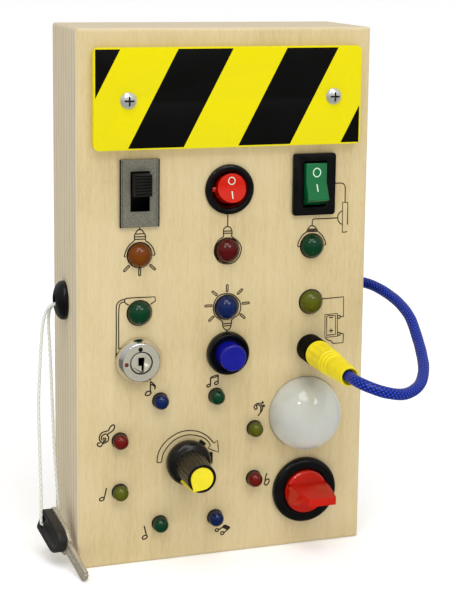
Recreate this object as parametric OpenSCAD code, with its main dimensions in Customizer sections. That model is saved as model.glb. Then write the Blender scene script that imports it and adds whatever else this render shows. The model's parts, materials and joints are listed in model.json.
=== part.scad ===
/* [Case] */
// overall width
case_w = 140; // [120:1:180]
// overall height
case_h = 250; // [220:1:300]
// thickness of one plywood layer
layer_t = 9; // [7:0.5:12]
// width of the frame walls between the front and back panels
wall_w = 10; // [9:0.5:14]
// radius of the outer edges
edge_r = 1.6; // [0.5:0.1:3]
// height of the row of three switches
row_switch = 176; // [170:1:182]
// height of the upper row of lamps
row_lamp_a = 147.4; // [144:0.2:150]
// height of the lower row of lamps
row_lamp_b = 120.4; // [118:0.2:123]
// height of the lock, button and jack row
row_control = 98; // [96:0.5:100]
// distance between the three columns on a board 140 wide
col_pitch = 41.8; // [40:0.2:44]
// clearance of a piece in its hole in the wood
hole_gap = 0.2; // [0.1:0.05:0.5]
// radial clearance of a moving shaft in its own bore
run_gap = 0.05; // [0.02:0.01:0.1]

/* [Warning plate] */
// width of the striped plate
plate_w = 126.8; // [110:0.2:130]
// height of the striped plate
plate_h = 45.6; // [40:0.2:50]
// thickness of the striped plate
plate_t = 4; // [2:0.5:5]
// height of its centre
plate_z = 218.8; // [214:0.2:222]
// radius of the screw heads
plate_head_r = 3.9; // [3:0.1:5]

/* [Slide switch] */
// width of its cover plate
slide_w = 18.2; // [16:0.2:22]
// height of its cover plate
slide_h = 31.1; // [28:0.1:34]
// thickness of its cover plate
slide_t = 1.6; // [1:0.1:2]
// width of the knob
knob_w = 7.9; // [6:0.1:8.4]
// height of the knob
knob_h = 9.8; // [9:0.1:12]
// how far the knob stands proud of the wood
knob_z = 8; // [4:0.5:9]
// travel of the knob
slide_travel = 7.2; // [5:0.1:8]

/* [Rockers] */
// radius of the round bezel
round_r = 11.65; // [11:0.05:13]
// radius of the round opening
round_open_r = 8.2; // [7.8:0.1:9]
// width of the rectangular bezel
square_w = 21; // [19:0.2:24]
// height of the rectangular bezel
square_h = 29.2; // [27:0.2:33]
// width of the rectangular rocker
paddle_w = 10.2; // [9:0.2:12]
// tilt of the round rocker either side of level
round_tilt = 12; // [6:1:12]
// tilt of the rectangular rocker either side of level
square_tilt = 14; // [6:1:14]

/* [Lamps] */
// radius of a large lamp
lamp_r = 5.75; // [4:0.05:6]
// how far a large lamp stands proud
lamp_z = 5.2; // [3:0.1:8]
// radius of a small lamp
small_r = 3.6; // [2.5:0.1:3.8]
// how far a small lamp stands proud
small_z = 6; // [1:0.1:7]
// half width of the ring of small lamps on a board 140 wide
ring_a = 35.4; // [34:0.2:36]
// half height of the ring of small lamps
ring_b = 32.3; // [31:0.2:33]
// outer radius of the white dome on a board 140 wide
dome_r = 17.7; // [14:0.1:18]
// wall of the white dome
dome_wall = 2; // [1:0.2:3]

/* [Key lock and key] */
// radius of the lock's rim
lock_r = 10.8; // [9.5:0.1:12]
// radius of the turning plug
lock_plug_r = 5; // [4.5:0.05:6]
// length of the key's blade
key_blade_len = 20; // [16:1:24]
// width of the key's blade
key_blade_w = 5; // [4:0.2:6]

/* [Button] */
// radius of the button's bezel
button_r = 10.2; // [9:0.2:12]
// radius of the cap
cap_r = 6.2; // [5:0.1:7]
// how far the cap stands proud
cap_z = 10.8; // [8:0.1:13]
// travel of the cap
cap_travel = 3.5; // [2:0.5:4]

/* [Jack and plug] */
// radius of the standard pin
pin_r = 3.175; // [3.1:0.005:3.2]
// length of the pin inside the socket
pin_len = 30; // [28:0.5:32]
// length of the grip
grip_len = 39; // [34:1:44]
// diameter of the plug's cord
cord_d = 5.2; // [3.5:0.1:5.6]

/* [Selector and dial] */
// radius of the selector's ring
sel_ring_r = 15.9; // [14:0.1:17]
// radius of the selector's knob
sel_knob_r = 10.5; // [9:0.1:10.8]
// how far the selector's handle stands proud
sel_handle_z = 19; // [15:0.5:22]
// radius of the dial's skirt
dial_skirt_r = 10.7; // [9:0.1:12]
// radius of the dial's front
dial_front_r = 6.7; // [6:0.1:8]
// how far the dial stands proud
dial_z = 25; // [20:0.5:28]

/* [Side bosses and cords] */
// radius of each side boss
boss_r = 9.2; // [8:0.1:11]
// how far a side boss stands out
boss_z = 5.2; // [4:0.1:8]
// height of both side bosses
boss_at_z = 122.1; // [112:0.1:126]
// diameter of the key's string
string_d = 1.6; // [1.2:0.1:2]

/* [Hidden] */
$fn = 64;
case_d = 6 * layer_t;
grow = case_w / 140;
col_m = 0.9; col_l = col_m - col_pitch * grow; col_r = col_m + col_pitch * grow;
plate_x = 0.6;
plate_screw = [[-47, 218.1], [50.5, 218.3]];
ring_x = -17.4 * grow; ring_z = 48.3;
dial_x = ring_x - 0.4; dial_at_z = ring_z - 0.5;
small_hole_r = small_r + 0.3; small_foot_r = small_r + 0.25;
dome_out = dome_r * grow; dome_foot = dome_out + 1.6; dome_gap = 0.2;
dome_x = case_w / 2 - wall_w - dome_foot - dome_gap; dome_at_z = 66.2;
sel_x = 40.8 * grow; sel_at_z = 27.85;
sel_bar = [10.3, 4.9, 1.9];
board_w = 79 * grow; board_h = 73; board_x = ring_x - 0.1; board_z = ring_z + 0.7;
case_screw_x = case_w / 2 - wall_w / 2; case_screw_z = [wall_w / 2, case_h - wall_w / 2];
boss_y = -0.6; boss_rim = 1.1; boss_bore = 3.2; boss_hole_r = 4.1;
slide_x = col_l - 0.3; slide_z = row_switch - 0.05;
bat_r = 7.2; bat_len = 50.4; bat_pitch = 15; bat_gap = 0.3; bat_wall = 1.6;
bat_in = [bat_len + 5.6, 2 * bat_pitch + 2 * bat_r + 2]; bat_out = [bat_in[0] + 2 * bat_wall, bat_in[1] + 2.4 * bat_wall];
bat_rim = [bat_out[0] + 12.8, bat_out[1] + 6.8]; bat_screw_x = bat_rim[0] / 2 - 3;
bat_z = case_h - wall_w - bat_rim[1] / 2 + 0.6;
lock_x = col_l - 0.45; lock_z = row_control + 0.4; lock_body_r = 9.2; lock_face_r = lock_r - 2;
but_x = col_m + 0.5; but_z = row_control + 0.6; but_body_r = 8;
jack_x = col_r - 0.1;
round_x = col_m + 0.6; square_z = row_switch + 1;
jack_out = 10.5;
round_body_r = 10; slide_body = [14, 26];
square_body = [17, 27]; square_open = [paddle_w + 1, 21.8];

// puts a piece on the front: x right, y up, z out of the board
module at_front(x, z) translate([x, -case_d / 2, z]) rotate([90, 0, 0]) children();
// puts a piece on the back: x to the left as seen from the front, y up, z out of the back
module at_back(x, z) translate([x, case_d / 2, z]) rotate([90, 0, 180]) children();
module rounded(w, h, r) {
  square([w - 2 * r, h], center = true);
  square([w, h - 2 * r], center = true);
  for (i = [-1, 1], j = [-1, 1]) translate([i * (w / 2 - r), j * (h / 2 - r)]) circle(r);
}
module slab(w, h, t, r) linear_extrude(t) rounded(w, h, r);
module box3(w, h, z0, z1) translate([-w / 2, -h / 2, z0]) cube([w, h, z1 - z0]);
module rod(r, z0, z1) translate([0, 0, z0]) cylinder(r = r, h = z1 - z0);
module pipe(ro, ri, z0, z1) difference() { rod(ro, z0, z1); rod(ri, z0 - 1, z1 + 1); }
module nut(flats, r, z0, z1) difference() {
  translate([0, 0, z0]) cylinder(r = flats / sqrt(3), h = z1 - z0, $fn = 6);
  rod(r, z0 - 1, z1 + 1);
}

// the whole block with its rounded edges
module case_block() intersection() {
  translate([0, case_d / 2, case_h / 2]) rotate([90, 0, 0]) slab(case_w, case_h, case_d, edge_r);
  translate([-case_w / 2, 0, case_h / 2]) rotate([90, 0, 90]) slab(case_d, case_h, case_w, edge_r);
  slab(case_w, case_d, case_h, edge_r);
}
module layer(i) intersection() {
  case_block();
  translate([-case_w, -case_d / 2 + i * layer_t, -1]) cube([2 * case_w, layer_t, case_h + 2]);
}
module case_screw_holes(r) for (i = [-1, 1], z = case_screw_z) translate([i * case_screw_x, 0, z])
  rotate([-90, 0, 0]) rod(r, -case_d / 2 + 2, case_d / 2 + 1);
module boss_holes() translate([0, boss_y, boss_at_z]) rotate([0, 90, 0]) rod(boss_hole_r, -case_w, case_w);
module frame_layer(i) difference() {
  layer(i);
  translate([0, case_d, case_h / 2]) rotate([90, 0, 0]) slab(case_w - 2 * wall_w, case_h - 2 * wall_w, 2 * case_d, 3);
  case_screw_holes(2.15);
  if (i > 1 && i < 4) boss_holes();
}
function ring_at(k) = [ring_x + ring_a * grow * cos(22.5 + 45 * k), ring_z + ring_b * sin(22.5 + 45 * k)];

module front_panel() color("burlywood") difference() {
  layer(0);
  at_front(slide_x, slide_z) box3(slide_body[0] + 2 * hole_gap, slide_body[1] + 2 * hole_gap, -20, 1);
  at_front(round_x, row_switch) rod(round_body_r + hole_gap, -20, 1);
  at_front(col_r, square_z) box3(square_body[0] + 2 * hole_gap, square_body[1] + 2 * hole_gap, -20, 1);
  for (x = [col_l, col_m, col_r], z = [row_lamp_a, row_lamp_b]) at_front(x, z) rod(lamp_r + 0.35, -20, 1);
  at_front(lock_x, lock_z) rod(lock_body_r + hole_gap, -20, 1);
  at_front(but_x, but_z) rod(but_body_r + hole_gap, -20, 1);
  at_front(jack_x, row_control) rod(4.6 + hole_gap, -20, 1);
  at_front(dial_x, dial_at_z) rod(3.7, -20, 1);
  for (k = [0:7]) at_front(ring_at(k)[0], ring_at(k)[1]) rod(small_hole_r, -20, 1);
  at_front(dome_x, dome_at_z) rod(dome_out + hole_gap, -20, 1);
  at_front(sel_x, sel_at_z) rod(11 + hole_gap, -20, 1);
  for (p = plate_screw) at_front(p[0], p[1]) rod(1.55, -8.5, 1);
  case_screw_holes(2.05);
}
module frame_layer_1() color("wheat") frame_layer(1);
module frame_layer_2() color("burlywood") frame_layer(2);
module frame_layer_3() color("wheat") frame_layer(3);
module frame_layer_4() color("burlywood") frame_layer(4);
module back_panel() color("wheat") difference() {
  layer(5);
  at_back(0, bat_z) box3(bat_out[0] + 2 * bat_gap, bat_out[1] + 2 * bat_gap, -20, 1);
  at_back(0, bat_z) box3(bat_rim[0] + 2 * bat_gap, bat_rim[1] + 2 * bat_gap, -4, 1);
  for (i = [-1, 1]) at_back(bat_screw_x * i, bat_z) rod(1.1, -8, 1);
  case_screw_holes(2.15);
  for (i = [-1, 1], z = case_screw_z) at_back(i * case_screw_x, z) rod(3.5, -3, 1);
}
module case_screws() color("silver") for (i = [-1, 1], z = case_screw_z) at_back(i * case_screw_x, z) difference() {
  union() { rod(3.2, -3, -0.4); rod(2, -50, -3); }
  box3(0.9, 5, -1.4, 0); box3(5, 0.9, -1.4, 0);
}
module warning_plate() color("gold") at_front(plate_x, plate_z) difference() {
  slab(plate_w, plate_h, plate_t, 2.5);
  for (p = plate_screw) translate([p[0] - plate_x, p[1] - plate_z, 0]) rod(1.9, -1, plate_t + 1);
}
module plate_screws() color("silver") for (p = plate_screw) at_front(p[0], p[1]) difference() {
  union() {
    rod(1.5, -8, plate_t);
    translate([0, 0, plate_t]) rotate_extrude() intersection() {
      translate([0, 2.2 - 4.7]) circle(4.7);
      square([plate_head_r, 3]);
    }
  }
  box3(0.8, 4.4, plate_t + 1, plate_t + 3); box3(4.4, 0.8, plate_t + 1, plate_t + 3);
}

// slide switch
module slide_plate() color("dimgray") at_front(slide_x, slide_z) difference() {
  slab(slide_w, slide_h, slide_t, 0.3);
  translate([0.25, 0.85, 0]) box3(9.1, 18.4, -1, 3);
}
module slide_housing() color("black") at_front(slide_x, slide_z) difference() {
  box3(slide_body[0], slide_body[1], -13, 0);
  translate([0.25, 0.85, 0]) box3(11.6, 21.4, -11, 1);
}
module slide_knob() color("black") at_front(slide_x + 0.25, slide_z + 4.4) difference() {
  union() { box3(knob_w, knob_h, -1, knob_z); box3(11, 13, -6, -0.6); box3(5, 3, -10.8, -6); }
  for (k = [-3:3]) translate([0, k * knob_h / 7.2, 0]) box3(knob_w + 2, 0.55, knob_z - 0.5, knob_z + 1);
}

// rockers: built level about their pivot, then tilted so that the lower half stands out
module rocker_body(w, half, foot, tip, mid, back, pivot_z, pin_x, tilt) translate([0, 0, pivot_z]) rotate([-tilt, 0, 0]) {
  difference() {
    translate([-w / 2, 0, 0]) rotate([90, 0, 90]) linear_extrude(w)
      polygon([[-half, tip], [0, mid], [half, tip], [foot, 0.6], [foot - 0.4, -back * 0.5], [half * 0.5, -back],
        [-half * 0.5, -back], [0.4 - foot, -back * 0.5], [-foot, 0.6]]);
    box3(w - 2.4, half, -back - 1, mid - 3);
  }
  for (i = [-1, 1]) rotate([0, 90 * i, 0]) rod(1.4, w / 2 - 0.6, pin_x);
}
module pivot_bores(z, x) translate([0, 0, z]) rotate([0, 90, 0]) rod(1.4 + run_gap, -x, x);
module round_rocker_housing() color("black") at_front(round_x, row_switch) difference() {
  union() {
    rod(round_body_r, -20, 0.2);
    rotate_extrude() polygon([[0, 0], [round_r, 0], [round_r, 1.1], [round_r - 0.9, 2], [0, 2]]);
  }
  rod(round_open_r, -10, 3);
  pivot_bores(-1.2, 9.5);
}
module round_rocker() color("red") at_front(round_x, row_switch) {
  intersection() {
    rocker_body(13.2, 6.8, 7.8, 6.4, 5, 4.5, -1.2, 9.3, round_tilt);
    union() {
      translate([0, 0, -1.2]) rotate([-round_tilt, 0, 0]) rotate_extrude()
        polygon([[0, -8], [7, -8], [7, 1], [6.7, 6.4], [6.2, 7.5], [0, 7.5]]);
      translate([0, 0, -1.2]) rotate([0, 90, 0]) rod(1.4, -9.3, 9.3);
    }
  }
}
module square_rocker_housing() color("black") at_front(col_r, square_z) difference() {
  union() {
    box3(square_body[0], square_body[1], -21, 0.2);
    slab(square_w, square_h, 2, 1.5);
  }
  box3(square_open[0], square_open[1], -11, 3);
  pivot_bores(-1, 8);
}
module square_rocker() color("green") at_front(col_r, square_z) rocker_body(paddle_w, 8.6, 10.2, 7.7, 5.6, 6, -1, 7.8, square_tilt);
module switch_terminals() color("khaki") {
  for (j = [-1, 0, 1]) at_front(slide_x, slide_z + j * 7) box3(2, 0.6, -18, -13);
  for (j = [-1, 1]) {
    at_front(round_x, row_switch + j * 5) box3(4.8, 0.8, -28, -20);
    at_front(col_r, square_z + j * 7) box3(4.8, 0.8, -29, -21);
  }
}

// lamps
module lamp(r, z, foot, foot_r) {
  rotate_extrude() {
    translate([0, z - r]) intersection() { circle(r); square([r, r]); }
    translate([0, foot + 2]) square([r, z - r - foot - 2]);
    translate([0, foot]) square([foot_r, 2]);
  }
}
module lamp_legs(z0, z1) for (i = [-1, 1]) translate([1.27 * i, 0, 0]) box3(0.6, 0.6, z0, z1);
module large_lamp(x, z) at_front(x, z) { lamp(lamp_r, lamp_z, -11, lamp_r + 1.3); lamp_legs(-19, -11); }
module small_lamp(k) at_front(ring_at(k)[0], ring_at(k)[1]) {
  rotate_extrude() {
    translate([0, small_z - small_r]) intersection() { circle(small_r); square([small_r, small_r]); }
    translate([0, -7.6]) square([small_r, small_z - small_r + 7.6]);
    translate([0, -8.6]) square([small_foot_r, 1]);
  }
  lamp_legs(-19, -8.6);
}
module led_amber() color("orange") large_lamp(col_l, row_lamp_a);
module led_red() color("darkred") large_lamp(col_m, row_lamp_a);
module led_green() color("green") { large_lamp(col_r, row_lamp_a); large_lamp(col_l, row_lamp_b); }
module led_blue() color("blue") large_lamp(col_m, row_lamp_b);
module led_olive() color("olive") large_lamp(col_r, row_lamp_b);
module small_leds_olive() color("olive") { small_lamp(0); small_lamp(4); }
module small_leds_green() color("green") { small_lamp(1); small_lamp(5); }
module small_leds_blue() color("blue") { small_lamp(2); small_lamp(6); }
module small_leds_red() color("red") { small_lamp(3); small_lamp(7); }
module circuit_board() color("darkgreen") at_front(board_x, board_z) translate([0, 0, -20.6]) slab(board_w, board_h, 1.6, 2);
module dome_lens() color("whitesmoke") at_front(dome_x, dome_at_z) rotate_extrude() difference() {
  union() {
    intersection() { circle(dome_out); square([dome_out, dome_out]); }
    translate([0, -9]) square([dome_out, 9]);
    translate([0, -11]) square([dome_foot, 2]);
  }
  intersection() { circle(dome_out - dome_wall); translate([0, 0]) square([dome_out, dome_out]); }
  translate([0, -12]) square([dome_out - dome_wall, 12]);
}
module lamp_board() color("darkgreen") at_front(dome_x, dome_at_z) rod(dome_out + 1, -12.6, -11);
module lamp_led() color("white") at_front(dome_x, dome_at_z) rotate_extrude() {
  translate([0, 0]) intersection() { circle(5); square([5, 5]); }
  translate([0, -10]) square([5, 10]);
  translate([0, -11]) square([5.8, 1]);
}

// key lock
module lock_body() color("silver") at_front(lock_x, lock_z) difference() {
  union() {
    rotate_extrude() polygon([[0, 0], [lock_r, 0], [lock_r, 2.4], [lock_r - 0.5, 3.6], [lock_face_r, 5.8], [0, 5.8]]);
    rod(lock_body_r, -24, 0.5);
  }
  rod(lock_plug_r + run_gap, -20, 7);
  rod(4 + run_gap, -25, -19);
}
module lock_nut() color("silver") at_front(lock_x, lock_z) nut(22, lock_body_r + run_gap, -12.5, -9);
module lock_plug() color("silver") at_front(lock_x, lock_z) difference() {
  union() { rod(lock_plug_r, -19.9, 5.7); rod(4, -26, -19); box3(5.4, 2.2, -31, -26); }
  translate([-0.25, 0, 0]) translate([-1.15, -0.6, -18]) cube([2.3, 3.1, 30]);
  translate([-0.25, 0, 0]) translate([-0.15, -4.6, -18]) cube([1.3, 4.2, 30]);
}
module lock_contact_block() color("black") at_front(lock_x, lock_z) {
  difference() { rod(lock_body_r, -34, -24.1); rod(4.4, -32, -20); }
  for (i = [-1, 1]) translate([0, 5 * i, 0]) box3(2.8, 0.8, -39, -34);
}

// push button
module button_housing() color("black") at_front(but_x, but_z) {
  difference() {
    union() {
      rotate_extrude() polygon([[0, 0], [button_r, 0], [button_r, 2.6], [button_r - 0.8, 4], [button_r - 1.6, 3.9],
        [cap_r + 0.9, 2.4], [0, 2.4]]);
      rod(but_body_r, -18, 0.5);
    }
    rod(cap_r + 0.08, -5, 4);
    rod(7.2, -16.5, -4);
  }
  for (i = [-1, 1]) translate([4 * i, 0, 0]) box3(0.8, 2.8, -24, -18);
}
module button_nut() color("black") at_front(but_x, but_z) nut(20, but_body_r + run_gap, -12, -9);
module button_cap() color("blue") at_front(but_x, but_z) rotate_extrude()
  polygon([[0, -6], [7, -6], [7, -4.1], [cap_r, -4.1], [cap_r, cap_z - 0.9], [cap_r - 0.3, cap_z - 0.3],
    [cap_r - 1, cap_z], [0, cap_z]]);
spring_turns = 5; spring_r = 5; spring_wire = 0.35; spring_len = 10.5; spring_steps = 11; spring_sides = 6;
function spring_pt(i) = let (t = i / (spring_turns * spring_steps), a = 360 * i / spring_steps)
  [spring_r * cos(a), spring_r * sin(a), -16.5 + spring_wire + t * (spring_len - 2 * spring_wire)];
module button_spring() color("silver") at_front(but_x, but_z)
  tube([for (i = [0:spring_turns * spring_steps]) spring_pt(i)], spring_wire, spring_sides);

// jack, plug and cord
module jack_socket() color("black") at_front(jack_x, row_control) difference() {
  union() { box3(18, 18, -23, -9); rod(4.6, -9.5, 9.8); }
  rod(pin_r + run_gap, -20.5, 12);
}
module jack_nut() color("black") at_front(jack_x, row_control) difference() {
  rotate_extrude() polygon([[0, 0], [6.6, 0], [6.6, jack_out - 0.6], [6, jack_out], [0, jack_out]]);
  rod(4.6 + run_gap, -1, 10);
  rod(pin_r + 0.4, 9, 12);
}
plug_z = jack_out + 0.5;
module plug_pin() color("silver") at_front(jack_x, row_control) rotate_extrude()
  polygon([[0, plug_z + 10], [pin_r, plug_z + 10], [pin_r, plug_z - 23.5], [2.2, plug_z - 25.2], [2.4, plug_z - 26.2],
    [2.9, plug_z - 27.2], [1, plug_z - pin_len], [0, plug_z - pin_len]]);
module plug_grip() color("gold") at_front(jack_x, row_control) difference() {
  rotate_extrude() polygon([[0, plug_z], [6, plug_z], [6.5, plug_z + 0.6], [6, plug_z + 16], [5.3, plug_z + 16.4],
    [5.3, plug_z + 17.4], [5.8, plug_z + 17.8], [5.7, plug_z + 19.4], [5, plug_z + 19.8], [5, plug_z + 20.8],
    [5.5, plug_z + 21.2], [5.4, plug_z + 22.6], [4.9, plug_z + 23], [4.9, plug_z + 24], [5.3, plug_z + 24.4],
    [4.5, plug_z + grip_len - 0.5], [4, plug_z + grip_len], [0, plug_z + grip_len]]);
  rod(pin_r + run_gap, plug_z - 1, plug_z + 10.2);
  rod(cord_d / 2 + 0.1, plug_z + 30, plug_z + grip_len + 1);
  for (k = [0:11]) rotate([0, 0, 30 * k]) translate([6.75, 0, 0]) rod(0.8, plug_z + 2, plug_z + 13);
}
boss_side = boss_r - 0.4; boss_rise = boss_z - boss_rim;
boss_curve = (boss_side * boss_side + boss_rise * boss_rise) / (2 * boss_rise);
module gland(side, bore) translate([side * case_w / 2, boss_y, boss_at_z]) rotate([0, 90 * side, 0]) difference() {
  union() {
    rod(boss_r, 0, boss_rim);
    rotate_extrude() intersection() {
      translate([0, boss_z - boss_curve]) circle(boss_curve);
      translate([0, boss_rim - 0.1]) square([boss_r, boss_z]);
    }
    rod(boss_hole_r - hole_gap, -wall_w + 0.5, 0.5);
  }
  rod(bore, -wall_w - 1, boss_z + 1);
}
module cord_gland() color("black") gland(1, cord_d / 2 + 0.1);
module string_boss() color("black") gland(-1, boss_bore);

// tube swept along a list of points
function unit(v) = v / max(norm(v), 1e-9);
function tangent(p, i) = unit(p[min(i + 1, len(p) - 1)] - p[max(i - 1, 0)]);
function turned(u, t) = unit(u - t * (u * t));
function frames(p, i, u) = i >= len(p) ? [] : let (v = turned(u, tangent(p, i))) concat([v], frames(p, i + 1, v));
function start_u(t) = abs(t[2]) < 0.8 ? turned([0, 0, 1], t) : turned([1, 0, 0], t);
module tube(p, r, n) {
  us = frames(p, 0, start_u(tangent(p, 0)));
  m = len(p);
  polyhedron(
    [for (i = [0:m - 1]) let (t = tangent(p, i), u = us[i], v = cross(t, u)) for (k = [0:n - 1])
      p[i] + r * (u * cos(360 * k / n) + v * sin(360 * k / n))],
    concat([[for (k = [0:n - 1]) n - 1 - k]],
      [for (i = [0:m - 2], k = [0:n - 1]) [i * n + k, i * n + (k + 1) % n, (i + 1) * n + (k + 1) % n, (i + 1) * n + k]],
      [[for (k = [0:n - 1]) (m - 1) * n + k]]));
}
// smooth points through a list of guide points
function catmull(a, b, c, d, t) = 0.5 * (2 * b + (c - a) * t + (2 * a - 5 * b + 4 * c - d) * t * t
  + (3 * b - a - 3 * c + d) * t * t * t);
function smooth(q, s) = concat([for (i = [0:len(q) - 2], k = [0:s - 1])
  catmull(q[max(i - 1, 0)], q[i], q[i + 1], q[min(i + 2, len(q) - 1)], k / s)], [q[len(q) - 1]]);
plug_end_y = -case_d / 2 - plug_z - grip_len;
gland_x = case_w / 2;
cord_mid = [[1.3736, 0.0209, 0.994], [1.5194, 0.0969, 0.9478], [1.6395, 0.2081, 0.8593], [1.693, 0.3455, 0.7574],
  [1.6883, 0.5026, 0.6032], [1.6247, 0.6597, 0.3422], [1.528, 0.8037, 0.1347], [1.3803, 0.9476, -0.0382],
  [1.1352, 1.0785, -0.1846], [0.7894, 1.1649, -0.2372], [0.439, 1.199, -0.1577], [0.1697, 1.1767, -0.0576],
  [0.0284, 1.0982, -0.0056]];
cord_pts = concat([for (d = [-8, 0, 6.5]) [gland_x + d, boss_y, boss_at_z]],
  [for (q = cord_mid) [jack_x + q[0] * (gland_x - jack_x), boss_y + q[1] * (plug_end_y - boss_y),
    row_control + q[2] * (boss_at_z - row_control)]],
  [[jack_x, plug_end_y, row_control], [jack_x, plug_end_y + 8.9, row_control]]);
module plug_cord() color("blue") tube(smooth(cord_pts, 2), cord_d / 2, 10);

// key, its head and its string
key_at = [-case_w / 2 - 0.04, -case_d / 2 - 14.5, 2.4];
key_yaw = 14; key_pitch = 21.8; key_roll = 7.9;
key_bow_len = 21.8; key_half = 5.7; key_edge = 6.5; key_black_t = 4.5; key_metal_t = 1.8;
key_slot_y = key_blade_len + key_bow_len - 3.4; key_slot_w = 2.4; key_slot_h = 6;
function turn_x(v, a) = [v[0], v[1] * cos(a) - v[2] * sin(a), v[1] * sin(a) + v[2] * cos(a)];
function turn_y(v, a) = [v[0] * cos(a) + v[2] * sin(a), v[1], v[2] * cos(a) - v[0] * sin(a)];
function turn_z(v, a) = [v[0] * cos(a) - v[1] * sin(a), v[0] * sin(a) + v[1] * cos(a), v[2]];
function key_pt(p) = key_at + turn_z(turn_x(turn_y(p, key_roll), key_pitch), key_yaw);
module key_frame() translate(key_at) rotate([0, 0, key_yaw]) rotate([key_pitch, 0, 0]) rotate([0, key_roll, 0]) children();
module key_bow(w, x0, x1) translate([x1, key_blade_len, 0]) rotate([0, -90, 0]) linear_extrude(x1 - x0) intersection() {
  translate([0, key_bow_len / 2]) circle(w + 6.6);
  translate([-w, 0]) square([2 * w, key_bow_len]);
}
module key_slot() translate([-1.4, key_slot_y, 0]) cube([9, key_slot_w, key_slot_h], center = true);
module key_head() color("black") key_frame() difference() {
  key_bow(key_half, -key_black_t, 0);
  translate([-17.6, key_blade_len + 8.6, 0]) rotate([0, 90, 0]) rotate_extrude() polygon([[0, 0], [9, 0], [4, 14.6], [0, 15]]);
  key_slot();
}
module key_blade() color("silver") key_frame() difference() {
  union() {
    translate([0, 0.8, -key_blade_w / 2]) cube([key_metal_t, key_blade_len + 3, key_blade_w]);
    translate([0, -0.2, -key_blade_w / 2 + 1]) cube([key_metal_t, 2, key_blade_w - 2]);
    key_bow(key_edge, 0, key_metal_t);
  }
  translate([-0.5, 3, -0.5]) cube([0.9, key_blade_len - 4, 1.1]);
  key_slot();
}
// the string leaves the boss, passes through the key's slot and returns
side_x = -case_w / 2; string_y = (string_d + 0.24) / 2; string_z = boss_at_z - 1.6;
loop_a = [side_x - 11.1, boss_y - string_y - 0.6, boss_at_z - 12.1];
loop_b = [side_x - 7.7, boss_y + string_y, boss_at_z - 13];
slot_in = [for (p = [[-5.75, 0.5, 2.2], [-4.45, 0.05, -0.9], [-1.4, -0.2, -1.9], [1.5, 0, -0.9], [3, 0.6, 1.8], [3.2, 1.8, 5.9]])
  key_pt([p[0], key_slot_y + p[1], p[2]])];
function hang(a, b, q) = [for (p = q) a + (b - a) * p[0] + [p[1], 0, 0]];
string_pts = concat(
  [[side_x + 7.5, boss_y - string_y, string_z], [side_x - 4.6, boss_y - string_y, string_z],
    [side_x - 7.4, boss_y - string_y, string_z - 0.9], [side_x - 9.3, boss_y - string_y - 0.3, string_z - 3.4], loop_a],
  hang(loop_a, slot_in[0], [[0.2, -1], [0.4, -1.5], [0.66, -0.8], [0.88, 0]]), slot_in,
  hang(slot_in[5], loop_b, [[0.14, -0.3], [0.4, -0.5], [0.84, 0]]),
  [loop_b, [side_x - 7.5, boss_y + string_y, string_z - 4.4], [side_x - 6.3, boss_y + string_y, string_z - 1.3],
    [side_x - 3.8, boss_y + string_y, string_z], [side_x + 7.5, boss_y + string_y, string_z]]);
module key_string() color("white") tube(smooth(string_pts, 2), string_d / 2, 8);

// selector
module selector_ring() color("black") at_front(sel_x, sel_at_z) difference() {
  union() {
    rotate_extrude() polygon([[0, 0], [sel_ring_r, 0], [sel_ring_r, 2], [sel_ring_r - 1.2, 3.4], [0, 3.4]]);
    rod(11, -22, 0.2);
  }
  rod(sel_knob_r + 0.3, 1, 4);
  rod(7 + run_gap, -20, 2);
  rod(4 + run_gap, -23, -19);
}
module selector_nut() color("black") at_front(sel_x, sel_at_z) nut(26, 11 + run_gap, -13, -9);
module selector_knob() color("red") at_front(sel_x, sel_at_z) {
  rotate_extrude() polygon([[0, 1.1], [sel_knob_r, 1.1], [sel_knob_r, 4.2], [sel_knob_r - 0.8, 5], [0, 5]]);
  intersection() {
    rotate([90, 0, 0]) translate([0, 0, -6]) linear_extrude(12)
      polygon([[-sel_bar[0], 4.8], [-3.8, sel_handle_z], [9.4, sel_handle_z], [sel_bar[0], 4.8]]);
    rotate([90, 0, 90]) translate([0, 0, -12]) linear_extrude(24)
      polygon([[-sel_bar[1], 4.8], [-sel_bar[2], sel_handle_z], [sel_bar[2], sel_handle_z], [sel_bar[1], 4.8]]);
    rod(sel_knob_r - 0.1, 4, sel_handle_z + 1);
  }
  rod(7, -19.9, 1.2);
  rod(4, -25, -19.8);
}
module selector_block() color("black") at_front(sel_x, sel_at_z) difference() {
  box3(24, 24, -36, -22.1);
  rod(4.4, -30, -20);
}

// dial
module dial_resistor() color("silver") at_front(dial_x, dial_at_z) difference() {
  union() { rod(12, -19, -9); rod(3.5, -9.5, 5.5); }
  rod(3 + run_gap, -12, 6);
}
module dial_washer() color("black") at_front(dial_x, dial_at_z) difference() {
  union() { rod(9.6, 0, 0.9); translate([9, -2.3, 0]) cube([3.4, 5.4, 0.9]);
    rotate([0, 0, 48]) translate([9.2, -1.6, 0]) cube([2.6, 3.2, 0.9]); }
  rod(3.6, -1, 2);
}
module dial_nut() color("silver") at_front(dial_x, dial_at_z) nut(10, 3.5 + run_gap, 0.9, 3.1);
module dial_knob() color("black") at_front(dial_x, dial_at_z) {
  difference() {
    rotate_extrude() polygon([[0, 1.2], [dial_skirt_r, 1.2], [dial_skirt_r, 4], [dial_skirt_r - 0.6, 5.6],
      [dial_skirt_r - 2, 6.8], [dial_front_r + 0.7, 7.2], [dial_front_r, dial_z - 0.5], [dial_front_r - 0.5, dial_z], [0, dial_z]]);
    rod(6.4, 0, 6);
    rod(5.35, dial_z - 1, dial_z + 1);
    for (k = [0:17]) rotate([0, 0, 20 * k]) translate([dial_front_r + 1.05, 0, 7.5])
      rotate([0, -2.3, 0]) cylinder(r = 0.6, h = 20);
  }
  rod(3, -11.8, 8);
}
module dial_cap() color("yellow") at_front(dial_x, dial_at_z) {
  rod(5.25, dial_z - 1, dial_z + 0.4);
}

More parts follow.
